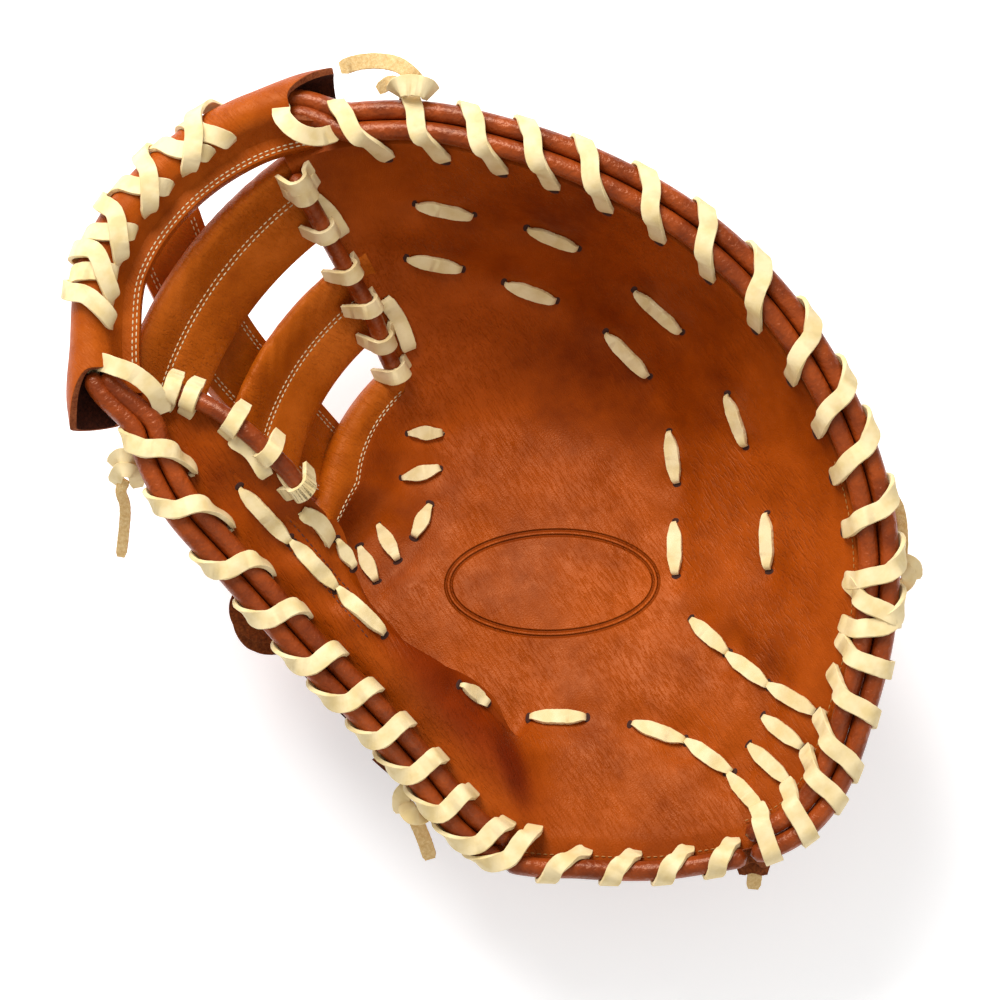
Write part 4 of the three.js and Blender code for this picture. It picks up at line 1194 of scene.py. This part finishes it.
inner_line = palm_point(HOLE_SHARE, RIM_ANGLES)
outer_line = over_roll(OUTER_INSET, 180)
rim_lines = (outer_line, over_roll(OUTER_INSET, 115), over_roll(INNER_INSET, 50), inner_line)
heel_lines = (outer_line, rim_point(RIM_ANGLES, HEEL_HOLE_INSET))
wraps = []
for row in RIM_WRAPS:
    wraps.append(laid_lace(*wrap_over(marks_on(rim_lines, RIM_ANGLES, row)[::-1], OVER_TWO, None)))
for row in HEEL_WRAPS:
    outer, hole = marks_on(heel_lines, RIM_ANGLES, row)
    angles = [mix(hole, outer, share) for share in (0, 0.5, 0.85, 1)]
    wraps.append(laid_lace(*wrap_over(angles, OVER_ONE, HEEL_HOLE_INSET)))
finish_laces(joined("rim_laces", lace_blank, wraps))

# The running laces: strands that dive in and out of the palm and pull its padding down.


def dived(seen, lift):
    """A strand's points and normals over places on the palm, its ends down in their holes."""
    points = [place + normal * lift for place, normal in seen]
    normals = [normal for _, normal in seen]
    down = [seen[k][0] - normals[k] * DIVE for k in (0, -1)]
    return [down[0]] + points + [down[1]], [normals[0]] + normals + [normals[-1]]


strands = []
for row in RUNNING_LACES:
    start, end = np.array(row[:2]), np.array(row[2:])
    seen = [on_palm(*mix(start, end, t)) for t in (0.03, 0.25, 0.5, 0.75, 0.97)]
    strands.append(laid_lace(*dived(seen, LACE_LIFT), ends=(0.1, 0.3), width=0.85, taper=9.0))
finish_laces(joined("running_laces", lace_blank, strands))

# The top band's lacing: strands wound round the tube, the odd ones over the even ones.
BAND_STRANDS = [
    # outer end x, y, middle x, y, hole x, y, layer
    (204, 104, 187, 125, 181, 163, 1), (178, 117, 200, 132, 230, 141, 0),
    (147, 143, 170, 141, 206, 149, 0), (137, 143, 145, 170, 143, 209, 1),
    (112, 189, 128, 179, 164, 182, 0), (99, 198, 117, 215, 120, 260, 1),
    (84, 241, 98, 227, 130, 230, 0), (75, 254, 100, 254, 116, 300, 1),
    (70, 279, 85, 270, 107, 270, 0), (72, 290, 100, 297, 120, 322, 1),
]
BAND_PLACES = np.linspace(0.02, 0.98, 193)
BAND_TURNS = (0, 80, 138)
# shares of the outer, the middle and the hole's place, turn, lift, share of the upper layer
BAND_LACE_WAY = [
    (2, -1, 0, -95, -DIVE, 0), (2, -1, 0, -75, LACE_LIFT, 0), (1.4, -0.4, 0, -35, LACE_LIFT, 0.5),
    (1, 0, 0, 0, LACE_LIFT, 1), (0.4, 0.6, 0, 42, LACE_LIFT, 1), (0, 1, 0, 80, LACE_LIFT, 1),
    (0, 0.45, 0.55, 112, LACE_LIFT, 1), (0, 0, 1, 138, LACE_LIFT * 0.7, 0.3), (0, 0, 1, 150, -DIVE, 0),
]


def band_skin(t, turn, lift):
    """A point on the band's tube and the direction out of it, at a turn from its outside."""
    t = np.atleast_1d(np.asarray(t, float))
    centre, side, up = band_frame(t)
    turned = math.radians(turn)
    out = side * math.cos(turned) + up * math.sin(turned)
    return centre + out * (tube_radius(t) + lift)[:, None], out


band_lines = [band_skin(BAND_PLACES, turn, LACE_LIFT)[0] for turn in BAND_TURNS]
wound = []
for *row, layer in BAND_STRANDS:
    marks = np.array(marks_on(band_lines, BAND_PLACES, row))
    laid = [band_skin(marks @ shares, turn, lift + layer * high * (LACE_THICKNESS + LACE_AIR))
            for *shares, turn, lift, high in BAND_LACE_WAY]
    wound.append(laid_lace([p[0] for p, _ in laid], [n[0] for _, n in laid]))
finish_laces(joined("band_laces", lace_blank, wound))

# The knots and short tails where the laces end: cream ones at the fingers' tips, the
# thumb's tip, the little finger and the wrist strap, a darker one at the heel and behind
# the thumb. The tails show the laces' suede side.
suede_tail = suede("suede_side_of_lace", "E8CB94", "CFA566")
brown_lace = suede("brown_leather_lace", "8E4A20", "5E2A10")
FREE_ENDS = {
    "knots": (None, [
        # width, then x, y in the photo and height in millimetres along each strand
        (1.0, (281, 104, 108), (283, 118, 113), (298, 132, 114), (316, 137, 111), (336, 133, 104)),
        (1.0, (90, 372, 104), (98, 362, 112), (116, 367, 116), (134, 374, 116), (154, 391, 113),
         (164, 412, 107)),
        (1.15, (396, 93, 111), (399, 87, 116), (412, 85, 118), (426, 88, 117), (431, 94, 111)),
        (0.8, (112, 464, 93), (119, 456, 97), (131, 457, 98), (139, 466, 94)),
        (0.8, (114, 482, 90), (121, 470, 97), (133, 472, 97), (138, 486, 90)),
        (0.8, (898, 570, 80), (905, 561, 86), (914, 566, 85), (915, 578, 80)),
        (0.8, (901, 588, 78), (909, 578, 84), (904, 568, 86), (897, 564, 82)),
        (1.0, (402, 812, 54), (402, 796, 60), (412, 788, 62), (424, 797, 60)),
        (1.0, (405, 804, 58), (412, 815, 62), (422, 815, 61), (427, 802, 56)),
    ]),
    "tails": (suede_tail, [
        (0.85, (420, 84, 114), (409, 72, 116), (396, 64, 115), (375, 61, 112), (356, 63, 109),
         (341, 68, 106)),
        (0.7, (402, 86, 112), (391, 82, 113), (379, 90, 109)),
        (0.6, (126, 480, 92), (121, 490, 90), (125, 506, 85), (124, 530, 77), (121, 556, 70)),
        (0.55, (888, 488, 88), (899, 508, 86), (903, 535, 84), (902, 562, 83)),
        (0.8, (414, 816, 56), (421, 832, 52), (426, 845, 48), (430, 858, 44)),
        (0.8, (756, 860, 52), (755, 873, 50), (753, 888, 46)),
    ]),
    "brown_ties": (brown_lace, [
        (1.2, (736, 858, 54), (748, 852, 60), (760, 853, 60), (770, 861, 52)),
        (1.0, (738, 868, 50), (752, 864, 54), (768, 868, 50)),
        (1.2, (266, 588, 64), (242, 600, 66), (243, 620, 68), (264, 632, 66), (304, 622, 64)),
        (1.2, (268, 594, 58), (244, 612, 59), (250, 636, 60), (272, 644, 59), (312, 632, 58)),
    ]),
}


def in_air(x, y, height):
    """The place at a height in millimetres under a pixel of the photo."""
    ray = photo_ray(x, y)
    place = camera.location + ray * ((height / 1000 - camera.location.z) / ray.z)
    return np.array(place) * 1000 - POCKET_CENTRE


for name, (material, rows) in FREE_ENDS.items():
    ends = [laid_lace([in_air(*place) for place in places], [-np.array(look)] * len(places),
                      ends=(0.75, 0.75), width=width, taper=2.0) for width, *places in rows]
    finish_laces(joined("lace_" + name, lace_blank, ends), *([material] * 2 if material else []))

# The holes that the laces go through, punched in the leather as wide as a lace: each is shown by a flat dark
# slot of painted shade laid where it is.
SLOT_SIZE = (4.2, 2.4, 0.5)


def round_blank(segments, size):
    """A small round pad to copy, and its points in millimetres."""
    deselect()
    bpy.ops.mesh.primitive_uv_sphere_add(segments=segments, ring_count=6, radius=0.5)
    blank = bpy.context.object
    return blank, np.array([v.co for v in blank.data.vertices]) * size


slot_blank, slot_points = round_blank(14, SLOT_SIZE)


def laid_slot(place, across, normal):
    across = unit(across - normal * (across @ normal))
    return place + slot_points @ np.array([across, np.cross(normal, across), normal])


slots = []
for start_x, start_y, end_x, end_y in RUNNING_LACES:
    start, end = on_palm(start_x, start_y), on_palm(end_x, end_y)
    along = unit(end[0] - start[0])
    for (place, normal), side in ((start, -1), (end, 1)):
        slots.append(laid_slot(place + along * side * 0.9, np.cross(normal, along), unit(normal)))
for row in RIM_WRAPS:
    angle = RIM_ANGLES[nearest(inner_line, row[-2:])]
    hole = palm_point(HOLE_SHARE, angle) + rim_inwards(angle) * 0.9 - np.array([0, 0, 1.6])
    along = palm_point(HOLE_SHARE, angle + 1) - palm_point(HOLE_SHARE, angle - 1)
    slots.append(laid_slot(hole, along, unit(hole_tilt(angle))))
# Painted shade: near-black pads stand in for the shade inside the holes.
painted_hole_shade = two_tone("painted_shade_in_hole", (0, "1E0B05"), (1, "4A1E0C"), (700, 2), None,
                      {"Roughness": 0.95})
finish_piece(joined("lace_holes", slot_blank, slots), painted_hole_shade, "palm_leather")

# The laces beside the web: each goes over the welt on the palm's edge and back under it.
WELT_WRAPS = [
    # welt, x, y where it crosses the welt
    ("finger", 277, 168), ("finger", 291, 200), ("finger", 318, 236), ("finger", 349, 272),
    ("finger", 367, 308), ("finger", 381, 342), ("finger", 402, 383),
    ("thumb", 166, 368), ("thumb", 197, 390), ("thumb", 236, 423), ("thumb", 266, 458),
    ("thumb", 299, 495), ("thumb", 321, 522),
]
WELT_SIDES = {
    # the palm's edge, the welt's row shares, degrees towards the palm
    "finger": (FINGER_EDGE, np.linspace(0.48, 0.92, 200), -4),
    "thumb": (THUMB_EDGE, np.linspace(0.67, 0.92, 200), 4),
}
OVER_WELT = WEB_WELT_DIAMETER / 2 + WELT_FULLNESS + LACE_LIFT
# away from the web, above the welt's middle, along the welt, the face's two parts
WELT_WRAP_WAY = [
    (7.6, -OVER_WELT - DIVE, 1.8, 0.5, 1), (6.8, -OVER_WELT + 1.6, 1.6, 0.6, 1),
    (OVER_WELT * 0.95, -0.4, 0.8, 1, 0.2), (OVER_WELT * 0.72, OVER_WELT * 0.72, 0.3, 0.7, 0.7),
    (0, OVER_WELT, 0, 0, 1), (-OVER_WELT * 0.72, OVER_WELT * 0.72, 0.4, -0.7, 0.7),
    (-OVER_WELT, -0.5, 1.2, -1, 0.1), (-OVER_WELT - 0.8, -OVER_WELT * 0.9, 1.8, -0.9, 0.3),
    (-OVER_WELT - 1.2, -OVER_WELT - DIVE, 2.2, -0.9, 0.2),
]
tied = []
for side_name, x, y in WELT_WRAPS:
    edge, shares, towards_palm = WELT_SIDES[side_name]
    line = welt_line(edge, shares)
    k = min(max(nearest(line, (x, y)), 2), len(line) - 3)
    along = unit(line[k + 2] - line[k - 2])
    inner = palm_point(shares[k], value_at(edge, 1, shares[k]) + towards_palm)
    towards = inner - (line[k] - np.array([0, 0, WEB_WELT_DIAMETER / 2]))
    towards = unit(towards - along * (towards @ along))
    up = np.cross(along, towards)
    up = up if up[2] > 0 else -up
    points = [line[k] + towards * out + up * rise + along * shift for out, rise, shift, *_ in WELT_WRAP_WAY]
    normals = [towards * face_out + up * face_up for *_, face_out, face_up in WELT_WRAP_WAY]
    tied.append(laid_lace(points, normals, ends=(0.6, 0.8), width=0.9))
SIDE_STRANDS = [
    # three places x, y along each strand that lies on the palm between two of them
    (311, 196, 328, 211, 341, 232), (386, 300, 399, 320, 408, 347),
    (235, 439, 252, 451, 267, 473), (304, 512, 317, 521, 327, 542), (283, 470, 290, 481, 297, 489),
]
for row in SIDE_STRANDS:
    tied.append(laid_lace(*dived([on_palm(*row[k:k + 2]) for k in (0, 2, 4)], LACE_LIFT * 1.6), width=0.9))
finish_laces(joined("web_side_laces", lace_blank, tied))

# The stitching: short even stitches of thick thread, each a small pad sunk at both ends.
STITCH_LENGTH = 1.6
STITCH_WIDTH = 0.5
STITCH_GAP = 0.6
stitch_blank, stitch_points = round_blank(8, (STITCH_WIDTH, STITCH_WIDTH, STITCH_LENGTH))


def stitch_row(points, normals, sink=0.08):
    """Stitches along a line of points in millimetres, standing out along its normals."""
    lengths = lengths_along(points)
    first, last = STITCH_LENGTH, lengths[-1] - STITCH_LENGTH / 2
    laid = []
    for middle in np.arange(first, last, STITCH_LENGTH + STITCH_GAP):
        start, end = (line_at(at, lengths, points) for at in
                      (middle - STITCH_LENGTH / 2, middle + STITCH_LENGTH / 2))
        out = unit(line_at(middle, lengths, normals))
        along = unit(end - start)
        across = np.cross(along, out)
        turned = np.array([across, np.cross(across, along), along])
        laid.append((start + end) / 2 + out * sink + stitch_points @ turned)
    return laid


def twisted_thread(name, colour, shade):
    """Waxed three-ply nylon thread: a soft shine and a fine twist."""
    return two_tone(name, (0, shade), (1, colour), (900, 2), (900, 2, 0.5, 0.5, 0.2),
                    {"Roughness": 0.5})


def surface_row(place, us, vs):
    """A line on a surface given by its two shares, with the surface's own normals."""
    us, vs = np.broadcast_arrays(np.asarray(us, float), np.asarray(vs, float))
    step = 0.004
    over = place(np.minimum(us + step, 1), vs) - place(np.maximum(us - step, 0), vs)
    on = place(us, np.minimum(vs + step, 1)) - place(us, np.maximum(vs - step, 0))
    normals = unit(np.cross(over, on))
    return place(us, vs), normals * np.sign(normals[:, 2:3] + 1e-9)


BAND_SEAM_ROWS = (-14.3, -13.0)
along_web = np.linspace(0.02, 0.98, 160)
along_spine = np.linspace(0.02, 0.98, 120)
web_rows = []
for surface, shares in ((strip_surface(*OUTER_LOOP), (0.477, 0.523)),
                        (strip_surface(*INNER_LOOP), (0.477, 0.523)), (panel_surface, (0.02, 0.09))):
    for across in shares:
        web_rows += stitch_row(*surface_row(surface, across, along_web))
for across in (0.10, 0.15, 0.85, 0.90):
    web_rows += stitch_row(*surface_row(spine_surface, along_spine, across))
seam_centre, seam_side, seam_up = band_frame(np.linspace(0.03, 0.97, 160))
for row in BAND_SEAM_ROWS:
    web_rows += stitch_row(seam_centre + seam_side * row - seam_up * FLANGE_DROP, seam_up)
web_thread = twisted_thread("off_white_web_thread", "E8D9B4", "C9AE7C")
finish_piece(joined("web_stitches", stitch_blank, web_rows), web_thread, "web_thread")
# The heel's seam, in tan thread, just inside the rolls, and the dark rows on the thumb.
HEEL_SEAM_INSET = 8.4
HEEL_SEAM_SHARE = 0.943
heel_way = np.linspace(-93, -125, 90)
side_way = np.linspace(-28, -91, 150)
upright = np.array([0, 0, 1.0])
heel_rows = stitch_row(rim_point(heel_way, HEEL_SEAM_INSET), np.tile(upright, (len(heel_way), 1)))
heel_rows += stitch_row(palm_point(HEEL_SEAM_SHARE, side_way), rim_inwards(side_way) * 0.8 + upright * 0.5)
heel_thread = twisted_thread("tan_heel_thread", "C98A3C", "8E5420")
finish_piece(joined("heel_stitches", stitch_blank, heel_rows), heel_thread, "heel_thread")
THUMB_ROWS = [(254, 508, 292, 552, 330, 592, 370, 640), (288, 518, 312, 546, 338, 578, 364, 606)]
thumb_rows = []
for row in THUMB_ROWS:
    steps = np.linspace(0, 3, 60)
    seen = [on_palm(x, y) for x, y in zip(*(np.interp(steps, range(4), row[k::2]) for k in (0, 1)))]
    thumb_rows += stitch_row(*(np.array(part) for part in zip(*seen)), sink=0.0)
brown_thread = twisted_thread("dark_brown_thread", "6A2C10", "3E1608")
finish_piece(joined("thumb_stitches", stitch_blank, thumb_rows), brown_thread, "heel_thread")
for blank in (lace_blank, stitch_blank, slot_blank):
    bpy.data.objects.remove(blank)
